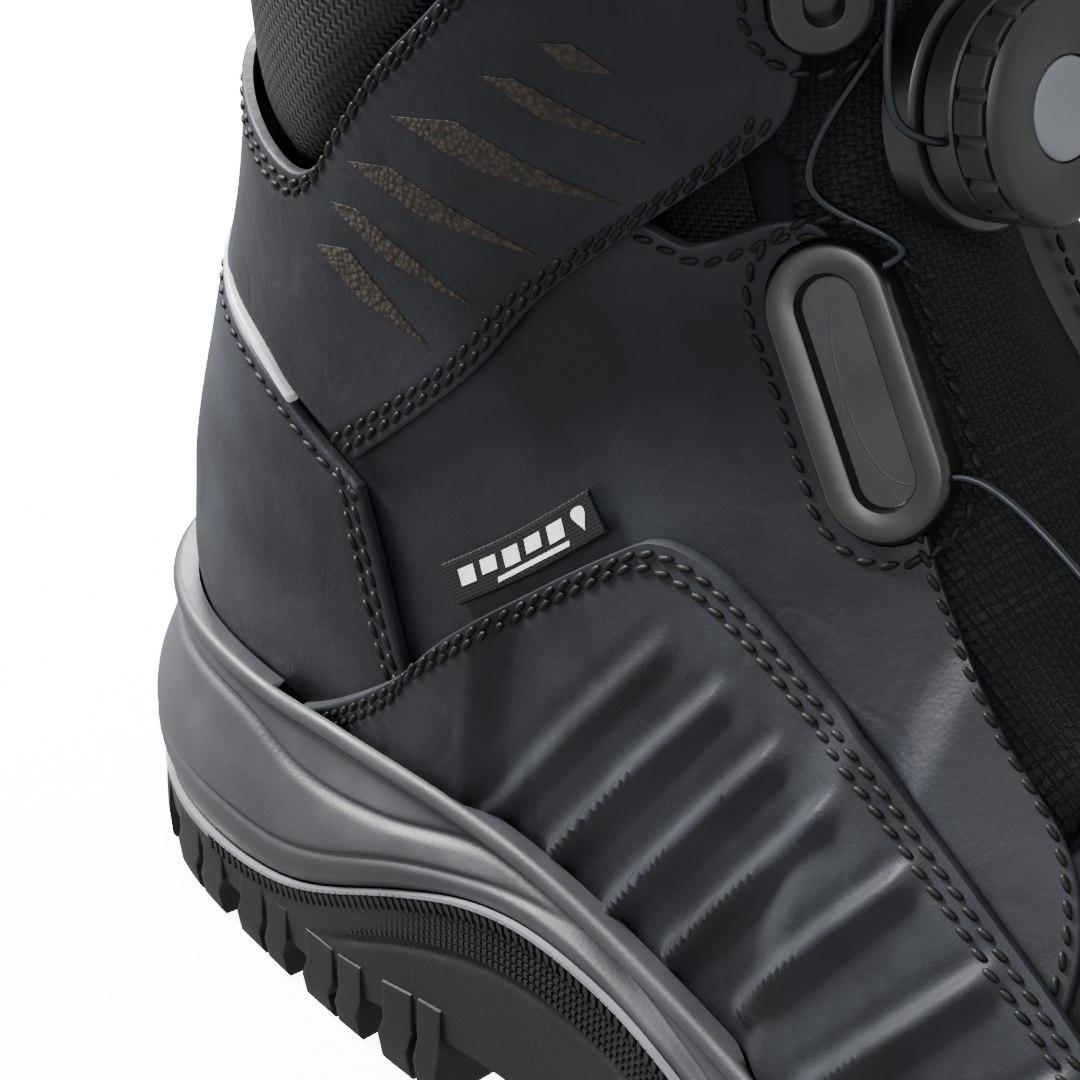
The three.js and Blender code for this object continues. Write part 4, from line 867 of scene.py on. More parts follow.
for name, side in (("lateral", LATERAL), ("medial", MEDIAL)):
    seam_angle = BACK_SEAM * side
    quarter_front = [margin(184), [187, 60], [189, 78], [182, 90], [165, 102], [152, 113], [143, 123],
                     [135, 134], [129, 143], [123, 151]]
    quarter = Panel(
        np.vstack([[back_line(51)[0], seam_angle],
                   seam(side, [[16, 50.5]] + margin_row(50, 80, 120, 150, 184))]),
        np.vstack([[back_line(118)[0], seam_angle], seam(side, [
            [20, 116], [44, 112], [62, 120], [76, 134], [90, 146], [99, 150], [107, 148], [115, 153],
            [120, 154], [123, 151]])]),
        along(seam_angle, back_line(51)[0], back_line(118)[0]), seam(side, quarter_front), 1.0)
    raise_panel(quarter, LEATHER_WALL, [("north", 2.4)], extra=quarter_lift(quarter.base[..., 0]),
                names=("north", "east"))
    piece = panel_piece(f"quarter_leather_{name}", quarter, quarter_lift(quarter.base[..., 0]), LEATHER,
                        "smooth_leather", [f"quarter_{name}"])
    lower = guide_frame("lower", side)
    cut_pocket(piece, lower[0], lower[2] + POCKET_CLEARANCE, lower[3] + POCKET_CLEARANCE)
    sew_round(*lower, 2.6, LEATHER_WALL)
    sew(quarter, "east", (2.4,), (8, 30))
    edge_points, edge_normals = quarter.line("north", 2.4, (1.5, 3), THREAD_LIFT)
    bare = edge_points[:, 0] > 101   # ahead of the shaft panel, which covers the rest
    stitch_rows.append((edge_points[bare], edge_normals[bare]))

    side_panel = Panel(
        seam(side, margin_row(46, 80, 120, 150, 190, 225, 246)),
        seam(side, [[46.5, 49], [58, 57], [71, 68], [80, 79], [94, 93], [106, 104], [112, 108], [120, 108],
                    [130, 105], [140, 101], [155, 95], [180, 83], [205, 71], [228, 62], [247, 52]]),
        seam(side, [margin(46), [46.5, 49]]), seam(side, [margin(246), [247, 52]]), 0.56)
    layer = side_layer(side_panel.base[..., 0])
    raise_panel(side_panel, LEATHER_WALL, [("north", 2.2), ("north", 4.5)],
                extra=layer + rib_relief(side_panel.base), names=("north", "east"))
    panel_piece(f"side_nubuck_{name}", side_panel, layer - 0.2, NUBUCK, "nubuck", [f"side_panel_{name}"])
    sew(side_panel, "north", (2.2, 4.5), (2, 6))

    shaft = Panel(
        np.vstack([[back_line(115)[0], seam_angle],
                   seam(side, [[16, 114], [37, 109.5], [47, 103.5], [59, 98]])]),
        np.vstack([[back_line(146)[0], seam_angle], seam(side, [
            [22, 143], [44, 139], [53, 143], [59, 153], [66, 164], [74, 174], [84, 187], [96, 199],
            [108, 206], [118, 209]])]),
        along(seam_angle, back_line(115)[0], back_line(146)[0]),
        seam(side, [[59, 98], [70, 110], [80, 122], [88, 135], [97, 146], [106, 156], [112, 163],
                    [116, 170], [117, 183], [117.5, 196], [118, 209]]), 0.9)
    raise_panel(shaft, PLY + LEATHER_WALL, [("east", 2.2), ("east", 4.5), ("north", 2.4), ("north", 4.6)],
                names=("north", "east", "south"))
    piece = panel_piece(f"shaft_leather_{name}", shaft, PLY, LEATHER, "smooth_leather", [f"shaft_{name}"])
    upper = guide_frame("upper", side)
    cut_pocket(piece, upper[0], upper[2] + POCKET_CLEARANCE, upper[3] + POCKET_CLEARANCE)
    sew_round(*upper, 2.4, PLY + LEATHER_WALL)
    sew(shaft, "east", (2.2, 4.5), (1, 42))
    sew(shaft, "north", (2.4, 4.6), (1, 4))
    etched_streaks(f"etched_streaks_{name}", side)

    gusset_front = [[122, 132], [114.5, 148], [110.5, 164], [108.5, 180], [107.5, 204]]
    gusset_rear = [[x - 11, z - 2] for x, z in gusset_front]
    gusset = Panel(seam(side, [gusset_rear[0], gusset_front[0]]),
                   seam(side, [gusset_rear[-1], gusset_front[-1]]),
                   seam(side, gusset_rear), seam(side, gusset_front), 1.2)
    gusset.outer = np.full(gusset.u.shape, TONGUE_TOP)
    panel_piece(f"gusset_cloth_{name}", gusset, TONGUE_TOP - 0.9, CANVAS, "woven_textile", [f"gusset_{name}"])

# Heel cover and the piping above it.
cover_front = [margin(80), [77, 56], [70, 71], [65, 83], [60, 94]]
cover = Panel(over_back(seam(MEDIAL, margin_row(80, 60, 40, 22) + [back_line(46.5)])),
              over_back(seam(MEDIAL, [[60, 94], [49, 99.5], [37, 105.5], [16, 110], back_line(111)])),
              seam(LATERAL, cover_front), seam(MEDIAL, cover_front), 1.0)
raise_panel(cover, PLY + TOUCH + LEATHER_WALL, [("west", 2.2), ("west", 4.4), ("east", 2.2), ("east", 4.4),
                                                ("north", 2.2)], 0.8, names=("west", "east", "north"))
panel_piece("heel_cover_leather", cover, PLY + 0.1, HEEL_LEATHER, "nubuck", ["heel_cover"])
for edge in ("west", "east"):
    sew(cover, edge, (2.2, 4.4), (3, 2))
sew(cover, "north", (2.2,), (2, 2))

pipe_top = seam(MEDIAL, [[46, 102.8], [37, 108.2], [16, 112.7], back_line(113.8)])
pipe_low = seam(MEDIAL, [[46, 101.6], [37, 106.3], [16, 110.8], back_line(111.9)])
piping = Panel(over_back(pipe_low), over_back(pipe_top), np.array([pipe_low[0], pipe_top[0]]) * [1, -1],
               np.array([pipe_low[0], pipe_top[0]]), 0.7)
piping.outer = PLY + LEATHER_WALL + 0.5 - piping.edge(0.6)
panel_piece("piping_reflective", piping, PLY, PIPING, "reflective_piping", ["heel_piping"])

# Woven tab: a plain drop and bars in pale yarn.
tab_south = seam(LATERAL, [[80, 83.5], [92, 94], [104, 106]])
tab_north = seam(LATERAL, [[75.5, 88], [87.5, 98.5], [99.5, 110.5]])
TAB_WALL = 0.7
TAB_CURL = 1.2    # how far its free front end stands off


def tab_seat(u):
    """The tab's inner face at a share of its length."""
    return LEATHER_WALL + TOUCH + TAB_CURL * u ** 3


tab = Panel(tab_south, tab_north, np.array([tab_south[0], tab_north[0]]),
            np.array([tab_south[-1], tab_north[-1]]), 0.5)
tab.outer = tab_seat(tab.u) + TAB_WALL - tab.edge(0.3)
panel_piece("tab_woven", tab, tab_seat(tab.u), TAB, "woven_label", ["label"])


def tab_mark(outline):
    """A closed leaf of pale yarn on the tab, from its outline in shares of the tab's length and height."""
    u, v = np.array(outline).T
    t = [np.array([[np.interp(x, np.linspace(0, 1, len(r)), r[:, c]) for c in (0, 1)] for x in u])
         for r in (resample(tab_south, np.linspace(0, 1, 60)), resample(tab_north, np.linspace(0, 1, 60)))]
    places = t[0] * (1 - v[:, None]) + t[1] * v[:, None]
    level = tab_seat(u) + TAB_WALL
    return on_last(places, level + 0.08), on_last(places, level - 0.2)


marks = []
angle = np.linspace(0, ROUND, 28, endpoint=False)
marks.append(np.column_stack([0.9 + 0.042 * np.sin(angle) * (1 - np.cos(angle)) / 1.3,
                              0.52 - 0.27 * np.cos(angle)]))
for k in range(5):
    low, high = (0.42, 0.74) if k % 2 else (0.36, 0.74)
    start = 0.08 + 0.15 * k
    marks.append(np.array([[start, low], [start + 0.1, low], [start + 0.12, high], [start + 0.02, high]]))
marks.append(np.array([[0.3, 0.14], [0.78, 0.14], [0.79, 0.24], [0.31, 0.24]]))
tab_points, tab_faces, first = [], [], 0
for outline in marks:
    top, low = tab_mark(outline)
    n = len(outline)
    tab_points += [top, low]
    tab_faces += [[first + i, first + (i + 1) % n, first + n + (i + 1) % n, first + n + i] for i in range(n)]
    tab_faces += [[first + i for i in range(n)], [first + n + i for i in range(n)][::-1]]
    first += 2 * n
finish_piece(make_mesh("tab_marks", np.vstack(tab_points), tab_faces), TAB_PRINT, "woven_label")

# Pull loop of webbing.
LOOP_HALF_ANGLE = 0.17
LOOP_RISE = 9
LOOP_WALL = 1.5
t_low, t_high = back_line(152)[0], back_line(200)[0]
loop = Panel(along(-LOOP_HALF_ANGLE, t_low, t_high), along(LOOP_HALF_ANGLE, t_low, t_high),
             across(t_low, -LOOP_HALF_ANGLE, LOOP_HALF_ANGLE),
             across(t_high, -LOOP_HALF_ANGLE, LOOP_HALF_ANGLE), 0.8)
rise = (PLY + LEATHER_WALL + TOUCH
        + LOOP_RISE * smooth(0.1, 0.45, loop.u) * (1 - smooth(0.55, 0.9, loop.u)))
loop.outer = rise + LOOP_WALL - loop.edge(0.5)
panel_piece("pull_loop_webbing", loop, rise, WEBBING, "webbing", ["pull_loop"])
for distance in (2, 4):
    for edge in ("west", "east"):
        sew(loop, edge, (distance,), (1.5, 1.5))


# ------------------------------------------------------------------ padded collar and tongue
def inflate(obj, voxel, cap, quick):
    """Swells a padded piece a little by cloth pressure, as foam fills its cover."""
    remesh = obj.modifiers.new("even", "REMESH")
    remesh.mode = "VOXEL"
    remesh.voxel_size = voxel * MM
    plain_mesh(obj)
    if not quick:
        before = np.array([v.co for v in obj.data.vertices])
        cloth = obj.modifiers.new("cloth", "CLOTH")
        cloth.settings.use_pressure = True
        cloth.settings.uniform_pressure_force = 4
        cloth.settings.effector_weights.gravity = 0
        cloth.settings.quality = 5
        cloth.point_cache.frame_start, cloth.point_cache.frame_end = 1, 20
        for moment in range(1, 21):
            scene.frame_set(moment)
        plain_mesh(obj)
        scene.frame_set(1)
        after = np.array([v.co for v in obj.data.vertices])
        move = after - before
        size = np.linalg.norm(move, axis=1, keepdims=True)
        move *= np.minimum(1, cap * MM / np.maximum(size, 1e-9))
        obj.data.vertices.foreach_set("co", (before + move).ravel())
    soften = obj.modifiers.new("soften", "SMOOTH")
    soften.factor = 0.5
    soften.iterations = 6
    fine = obj.modifiers.new("fine", "SUBSURF")
    fine.levels = fine.render_levels = 1
    plain_mesh(obj)
    obj.data.shade_smooth()


def set_weave(obj, across_mm, along_mm):
    """The way of the threads: a distance across and one along, at each vertex."""
    if "weave" in obj.data.attributes:
        obj.data.attributes.remove(obj.data.attributes["weave"])
    attribute = obj.data.attributes.new("weave", "FLOAT_VECTOR", "POINT")
    values = np.column_stack([across_mm, along_mm, 0 * across_mm]) * MM
    attribute.data.foreach_set("vector", values.ravel())


def vertices_mm(obj):
    """A piece's vertices, in mm from the heel."""
    flat = np.empty(len(obj.data.vertices) * 3)
    obj.data.vertices.foreach_get("co", flat)
    return flat.reshape(-1, 3) / MM - HEEL


collar_low = [[95, 197.5], [84, 185.5], [75, 172.5], [67, 162], [59.5, 151], [53, 141], [44, 136.5],
              [22, 140.5], back_line(143.5)]
collar_high = [[97, 209.5], [80, 207], [60, 203.5], [30, 199], back_line(195)]
ends = [[95, 197.5], [97, 209.5]]
collar = Panel(over_back(seam(MEDIAL, collar_low)), over_back(seam(MEDIAL, collar_high)),
               seam(LATERAL, ends), seam(MEDIAL, ends), 2.0)
tucked = smooth(3, 8, collar.far["south"])
collar.outer = 0.9 + 1.7 * tucked * np.sin(math.pi * np.clip(collar.v, 0, 1)) ** 0.5
under = -6.2 * np.sqrt(np.maximum(0, 1 - (2 * collar.v - 1) ** 4)) * (1 - 0.35 * collar.v) - 0.6
obj = panel_piece("collar_padded", collar, under, BALLISTIC, "woven_textile", ["collar"])
inflate(obj, 2.4, 1.0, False)
p = vertices_mm(obj)
turn = np.arctan2(p[:, 1], -(p[:, 0] - 70))
set_weave(obj, turn * 46, p[:, 2])

tongue_side = seam(MEDIAL, [[178, 90], [160, 98], [146, 109], [134, 122], [124, 136], [117, 150],
                            [113, 165], [111, 180], [110, 196], [110, 214]])
tongue = Panel(tongue_side, tongue_side * [1, -1] + [0, ROUND],
               across(tongue_side[0, 0], tongue_side[0, 1], ROUND - tongue_side[0, 1]),
               across(tongue_side[-1, 0], tongue_side[-1, 1], ROUND - tongue_side[-1, 1]), 2.0)
channels = sum(np.exp(-((tongue.far["west"] - d) / 1.6) ** 2) for d in (45, 75, 105))
tongue.outer = TONGUE_TOP - 0.9 * channels - tongue.edge(1.5)
under = TONGUE_TOP - 1.2 - 4.0 * np.sqrt(np.sin(math.pi * np.clip(tongue.v, 0, 1)))
obj = panel_piece("tongue_padded", tongue, under, CANVAS, "woven_textile", ["tongue"])
inflate(obj, 2.2, 0.8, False)
p = vertices_mm(obj)
line = last_point(np.linspace(5, 17, 200), math.pi)
near = np.argmin(((p[:, None, [0, 2]] - line[None, :, [0, 2]]) ** 2).sum(-1), axis=1)
set_weave(obj, p[:, 1], run_of(line)[near])


# ------------------------------------------------------------------ sole unit
def edge_level(x):
    """The height at which the sole's outline follows the last."""
    return RIM(x) - 8 * smooth(268, 296, x)


def outline(steps):
    """The last's edge just under the rim, with its normals."""
    rows = FINE_T[(FINE_T >= HEEL_SECTION) & (FINE_T <= HEEL_SECTION + 1)]
    heel_x = float(section_at(np.interp(50, section_at(rows)[:, 1], rows))[0])
    f = (1 - np.cos(np.pi * np.arange(steps + 1) / steps)) / 2
    x = heel_x + (301.98 - heel_x) * f
    places = place_at(np.column_stack([x, edge_level(x)]))
    places[[0, -1], 1] = np.round(places[[0, -1], 1] / np.pi) * np.pi
    lateral, medial = (last_point(places[:, 0], places[:, 1] * side)[:, :2] for side in (LATERAL, MEDIAL))
    xs = np.concatenate([x, x[-2:0:-1]])
    points = np.vstack([lateral, medial[-2:0:-1]])
    run = np.roll(points, -1, 0) - np.roll(points, 1, 0)
    normal = np.column_stack([run[:, 1], -run[:, 0]])
    return xs, points, normal / np.linalg.norm(normal, axis=1, keepdims=True)


FEATHER_X, FEATHER, FEATHER_NORMAL = outline(220)


def half_outline(side, x_from, x_to):
    """The outline's steps on one side between two places along the boot."""
    half = len(FEATHER_X) // 2
    index = np.arange(half + 1) if side == LATERAL else np.arange(half, 2 * half + 1) % (2 * half)
    return index[(FEATHER_X[index] >= x_from) & (FEATHER_X[index] <= x_to)]


def ring(off, level):
    """A closed line round the sole: how far it stands out and its height, along the boot."""
    x = FEATHER_X
    reach = np.broadcast_to(off(x) if callable(off) else off, x.shape)
    q = FEATHER + FEATHER_NORMAL * reach[:, None]
    at = np.where(reach < 0, np.minimum(x, q[:, 0]), x)
    return np.column_stack([q, level(at)])


def ring_loft(name, rings):
    """Closed rings joined in turn, with flat caps."""
    n, m = len(rings[0]), len(rings)
    faces = band_faces(n, m - 1)
    for base, flip in ((0, False), ((m - 1) * n, True)):
        for i in range(n // 2):
            quad = [base + i, base + i + 1, base + n - i - 1, base + (n - i) % n]
            quad = list(dict.fromkeys(quad))
            if len(quad) > 2:
                faces.append(quad if flip else quad[::-1])
    return make_mesh(name, np.vstack(rings), faces, sharp=60)


WALL_OFF = 9.2
RIM_BEAD = 3.4
CUP_GAP = PLY_GAP + TOUCH
INNER = WALL_OFF - 3.0


def flare(x):
    """How much further the wall stands out at the heel and the forefoot."""
    return 3.0 * (1 - smooth(60, 110, x)) + 1.2 * smooth(150, 210, x)


def cup_shoulder(x):
    """Height at which the midsole's cup turns in under the upper."""
    return RIM(x) - 8 - (RIM(x) - 36) * smooth(272, 290, x)


def underside(x):
    """Height of the last's underside."""
    rows = FINE_T[FINE_T <= HEEL_SECTION]
    return np.interp(x, FINE_SECTIONS[:len(rows), 0][::-1], FINE_SECTIONS[:len(rows), 1][::-1])


# Flowing grooves in the midsole's wall: heights along the boot and how deep and wide each is.
GROOVES = [(levels([[0, 41], [33, 42], [51, 40.5], [71, 44], [92, 50], [109, 49.5], [130, 45.5],
                    [160, 38], [200, 31], [250, 30], [302, 39]]), 0.9, 0.85),
           (levels([[0, 24], [34, 25], [52, 28], [76, 40], [92, 45.6], [103, 47.8], [116, 48],
                    [129, 46], [150, 39.6], [172, 31], [195, 25.5], [225, 22.5], [260, 24.5],
                    [302, 34]]), 0.7, 0.7)]
WALL_SHAPE = levels([[0, 0], [0.22, 0.0], [0.5, -0.4], [0.8, -1.6], [1, -2.1]])
FLARE_SHAPE = levels([[0, 0], [0.22, 0.7], [0.5, 0.8], [0.8, 0.3], [1, 0]])


def wall_ring(f):
    """The midsole's wall at a share f of its height, with its grooves."""
    def level(x):
        low, high = OUTSOLE_TOP(x), RIM(x) - RIM_BEAD - 1.2
        return low + (high - low) * f

    def off(x):
        z = level(x)
        reach = WALL_OFF + WALL_SHAPE(f) + FLARE_SHAPE(f) * flare(x)
        for line, depth, width in GROOVES:
            d = z - line(x)
            reach = reach - depth * np.exp(-(d / width) ** 2)
        return reach
    return ring(off, level)


def rim_ring(angle):
    """The rounded rim: a half round of 1.7 mm radius under the upper."""
    a = math.radians(angle)
    return ring(7.2 + 1.5 * math.cos(a), lambda x: RIM(x) - 1.7 + 1.7 * math.sin(a))


midsole_rings = [
    ring(1, lambda x: OUTSOLE_FLOOR(x) + TOUCH),
    ring(INNER - TOUCH, lambda x: OUTSOLE_FLOOR(x) + 3),
    ring(INNER - TOUCH, OUTSOLE_TOP),
    ring(WALL_OFF - 0.4, OUTSOLE_TOP),
]
midsole_rings += [wall_ring(f) for f in np.concatenate([[0.012], np.linspace(0.03, 1, 64)])]
midsole_rings += [rim_ring(a) for a in (-75, -60, -45, -30, -15, 0, 15, 30, 45, 60, 75, 90)]
midsole_rings += [
    ring(lambda x: np.minimum(LEATHER_WALL + side_layer(x) + CUP_GAP, 6.9), lambda x: RIM(x) - 0.4),
    ring(lambda x: LEATHER_WALL + side_layer(x) + CUP_GAP, cup_shoulder),
    ring(-7, lambda x: underside(x) - 0.9 - 3 * TOUCH),
]
finish_piece(ring_loft("midsole_moulded", midsole_rings), MIDSOLE, "pu_midsole", ["midsole"])


def band(x):
    """Depth of the rubber band under the edge line: it widens into the arch panel."""
    return 3.2 + 1.2 * smooth(70, 100, x) * (1 - smooth(150, 180, x))


outsole_rings = [
    ring(1, OUTSOLE_FLOOR),
    ring(INNER, lambda x: OUTSOLE_FLOOR(x) + 2.4),
    ring(INNER, lambda x: OUTSOLE_TOP(x) - TOUCH),
    ring(WALL_OFF + 0.3, lambda x: OUTSOLE_TOP(x) - TOUCH),
    ring(WALL_OFF + 0.8, lambda x: OUTSOLE_TOP(x) - 0.6),
    ring(WALL_OFF + 0.9, lambda x: OUTSOLE_TOP(x) - 1.2),
    ring(WALL_OFF + 0.5, lambda x: OUTSOLE_TOP(x) - 1.6),
]


def panel_depth(f):
    """The outsole's wall at a share f from the band down to its lower edge."""
    def level(x):
        top, low = OUTSOLE_TOP(x) - 1.8, OUTSOLE_FLOOR(x) - 1.0
        return top + (low - top) * f

    def off(x):
        z = level(x)
        groove = np.exp(-((z - (OUTSOLE_TOP(x) - band(x) - 6.5)) / 0.9) ** 2)
        fades = smooth(56, 70, x) * (1 - smooth(178, 200, x))
        return WALL_OFF + 0.35 + 0.2 * flare(x) * (1 - f) - 0.9 * groove * fades
    return ring(off, level)


outsole_rings += [panel_depth(f) for f in np.linspace(0, 1, 40)]
outsole_rings += [ring(WALL_OFF - 0.9, lambda x: OUTSOLE_FLOOR(x) - 2.2),
                  ring(WALL_OFF - 2.5, lambda x: OUTSOLE_FLOOR(x) - 3)]
finish_piece(ring_loft("outsole_wall", outsole_rings), RUBBER, "rubber_sole", ["outsole"])


def wall_line(index, off, level):
    """A line beside the sole's wall, at an even distance and a height along the boot."""
    return np.column_stack([FEATHER[index] + FEATHER_NORMAL[index] * off, level(FEATHER_X[index])])


def strip(x_from, x_to, corners):
    """Closed lofts along the sole's wall, one on each side, from (distance, height) of each corner."""
    points, faces, base = [], [], 0
    for side in (LATERAL, MEDIAL):
        index = half_outline(side, x_from, x_to)
        lines = [wall_line(index, off, level) for off, level in corners]
        n, m = len(index), len(lines)
        points.append(np.vstack(lines))
        for k in range(m):
            a, b = k * n, (k + 1) % m * n
            faces += [[base + a + i, base + a + i + 1, base + b + i + 1, base + b + i] for i in range(n - 1)]
        faces += [[base + k * n for k in range(m)], [base + k * n + n - 1 for k in range(m)][::-1]]
        base += n * m
    return points, faces


# The thin pale line where the rubber meets the midsole.
points, faces = strip(8, 300, [(WALL_OFF + 0.2, lambda x: OUTSOLE_TOP(x) - 0.1),
                               (WALL_OFF + 1.15, lambda x: OUTSOLE_TOP(x) - 0.2),
                               (WALL_OFF + 1.15, lambda x: OUTSOLE_TOP(x) - 0.9),
                               (WALL_OFF + 0.2, lambda x: OUTSOLE_TOP(x) - 1.0)])
finish_piece(make_mesh("edge_line", np.vstack(points), faces), EDGE_LINE, "rubber_sole")


def node_group(name, inputs):
    """An empty Geometry Nodes tree with a geometry in and out and its named inputs."""
    tree = bpy.data.node_groups.new(name, "GeometryNodeTree")
    tree.interface.new_socket("Geometry", in_out="INPUT", socket_type="NodeSocketGeometry")
    tree.interface.new_socket("Geometry", in_out="OUTPUT", socket_type="NodeSocketGeometry")
    for label, kind, value in inputs:
        socket = tree.interface.new_socket(label, in_out="INPUT", socket_type=kind)
        if value is not None:
            socket.default_value = value
    return tree, tree.nodes.new("NodeGroupInput"), tree.nodes.new("NodeGroupOutput")


def set_inputs(modifier, values):
    """Sets a modifier's inputs by the identifiers of its tree's sockets."""
    for item in modifier.node_group.interface.items_tree:
        if item.in_out == "INPUT" and item.name in values:
            modifier[item.identifier] = values[item.name]


def rows_object(name, rows):
    """Open polylines with the outward direction at each point, in the shared frame."""
    points = np.vstack([p for p, _ in rows])
    outward = np.vstack([n for _, n in rows])
    edges, first = [], 0
    for p, _ in rows:
        edges += [[first + i, first + i + 1] for i in range(len(p) - 1)]
        first += len(p)
    mesh = bpy.data.meshes.new(name)
    mesh.from_pydata(to_frame(points).tolist(), edges, [])
    attribute = mesh.attributes.new("outward", "FLOAT_VECTOR", "POINT")
    attribute.data.foreach_set("vector", outward.astype(float).ravel())
    obj = bpy.data.objects.new(name, mesh)
    scene.collection.objects.link(obj)
    return obj


def repeat_tree(name, shape):
    """Sets a small shape along rows: at each pitch, lying along the row and facing outwards."""
    tree, entry, leave = node_group(name, [
        ("Pitch", "NodeSocketFloat", 0.003), ("Length", "NodeSocketFloat", 0.003),
        ("Width", "NodeSocketFloat", 0.001), ("Height", "NodeSocketFloat", 0.001),
        ("Slant", "NodeSocketFloat", 0.0), ("Finish", "NodeSocketMaterial", None)])
    curve = add_node(tree, "GeometryNodeMeshToCurve", {"Mesh": entry.outputs["Geometry"]})
    even = add_node(tree, "GeometryNodeResampleCurve", {"Curve": curve.outputs["Curve"],
                                                        "Length": entry.outputs["Pitch"]}, mode="LENGTH")
    outward = add_node(tree, "GeometryNodeInputNamedAttribute", {"Name": "outward"},
                       data_type="FLOAT_VECTOR")
    tangent = add_node(tree, "GeometryNodeInputTangent")
    upright = add_node(tree, "FunctionNodeAlignRotationToVector", {"Vector": outward.outputs["Attribute"]},
                       axis="Z")
    turned = add_node(tree, "FunctionNodeAlignRotationToVector", {
        "Rotation": upright.outputs["Rotation"], "Vector": tangent.outputs["Tangent"]},
        axis="X", pivot_axis="Z")
    slant = add_node(tree, "ShaderNodeCombineXYZ", {"Z": entry.outputs["Slant"]})
    spin = add_node(tree, "FunctionNodeEulerToRotation", {"Euler": slant.outputs["Vector"]})
    facing = add_node(tree, "FunctionNodeRotateRotation", {"Rotation": turned.outputs["Rotation"],
                                                           "Rotate By": spin.outputs["Rotation"]},
                      rotation_space="LOCAL")
    if shape == "grain":
        unit = add_node(tree, "GeometryNodeMeshUVSphere", {"Segments": 8, "Rings": 5, "Radius": 0.5})
    else:
        unit = add_node(tree, "GeometryNodeMeshCylinder", {"Vertices": 4, "Radius": 0.707, "Depth": 1.0})
    size = add_node(tree, "ShaderNodeCombineXYZ", {"X": entry.outputs["Length"], "Y": entry.outputs["Width"],
                                                   "Z": entry.outputs["Height"]})
    scaled = add_node(tree, "GeometryNodeTransform", {"Geometry": unit.outputs["Mesh"],
                                                      "Scale": size.outputs["Vector"]})
    smoothed = add_node(tree, "GeometryNodeSetShadeSmooth", {"Geometry": scaled.outputs["Geometry"],
                                                             "Shade Smooth": shape == "grain"})
    placed = add_node(tree, "GeometryNodeInstanceOnPoints", {
        "Points": even.outputs["Curve"], "Instance": smoothed.outputs["Geometry"],
        "Rotation": facing.outputs["Rotation"]})
    real = add_node(tree, "GeometryNodeRealizeInstances", {"Geometry": placed.outputs["Instances"]})
    finish = add_node(tree, "GeometryNodeSetMaterial", {"Geometry": real.outputs["Geometry"],
                                                        "Material": entry.outputs["Finish"]})
    tree.links.new(finish.outputs["Geometry"], leave.inputs["Geometry"])
    return tree


def repeated(name, rows, tree, slot, **values):
    """One piece of small shapes set along rows."""
    obj = rows_object(name, rows)
    modifier = obj.modifiers.new("rows", "NODES")
    modifier.node_group = tree
    set_inputs(modifier, values)
    plain_mesh(obj)
    return finish_piece(obj, values["Finish"], slot)


STITCH_TREE = repeat_tree("stitch rows", "grain")
TOOTH_TREE = repeat_tree("tooth rows", "block")
repeated("seam_stitches", stitch_rows, STITCH_TREE, "smooth_leather", Pitch=0.0032, Length=0.0029,
         Width=0.00112, Height=0.00098, Slant=0.26, Finish=THREAD)


def wall_rows(x_from, x_to, off, level):
    """Rows along both side walls of the sole, for teeth and knurls."""
    rows = []
    for side in (LATERAL, MEDIAL):
        index = half_outline(side, x_from, x_to)
        outward = np.column_stack([FEATHER_NORMAL[index], np.zeros(len(index))])
        rows.append((wall_line(index, off, level), outward))
    return rows


# Serrations hang from the edge line; finer knurls cover the panel below them.
serrations = wall_rows(30, 296, WALL_OFF + 0.75, lambda x: OUTSOLE_TOP(x) - 1.9)
repeated("edge_serrations", serrations, TOOTH_TREE, "rubber_sole", Pitch=0.0017, Length=0.0008,
         Width=0.0021, Height=0.0008, Slant=0.35, Finish=RUBBER)
knurl_rows = []
for step in range(5):
    knurl_rows += wall_rows(66, 190, WALL_OFF + 0.42,
                            lambda x, s=step: OUTSOLE_TOP(x) - 3.6 - s * 1.15 - 0.25 * (band(x) - 3.2) * s)
repeated("arch_knurls", knurl_rows, TOOTH_TREE, "rubber_sole", Pitch=0.0013, Length=0.0008, Width=0.0008,
         Height=0.0007, Slant=0.785, Finish=RUBBER)


# ------------------------------------------------------------------ tread
def wall_point(k, off):
    """A point beside the sole at a running place k of its outline."""
    n = len(FEATHER_X)
    i = int(math.floor(k)) % n
    j = (i + 1) % n
    f = k - math.floor(k)
    q = FEATHER[i] * (1 - f) + FEATHER[j] * f
    normal = FEATHER_NORMAL[i] * (1 - f) + FEATHER_NORMAL[j] * f
    return FEATHER_X[i] * (1 - f) + FEATHER_X[j] * f, q + normal / np.linalg.norm(normal) * off


def ground(x):
    """Where the tread ends: on the ground, or above it at the rolled heel and toe."""
    return np.maximum(0, ROLL(x))


LUG_LENGTH, LUG_GAP = 13.0, 5.0
LUG_STEPS = 8
ARCH = (84, 124)        # no side lugs here
LUG_SLIT = 0.56         # place of the slit, and half its width, as shares of a lug
LUG_SLIT_HALF = 0.055


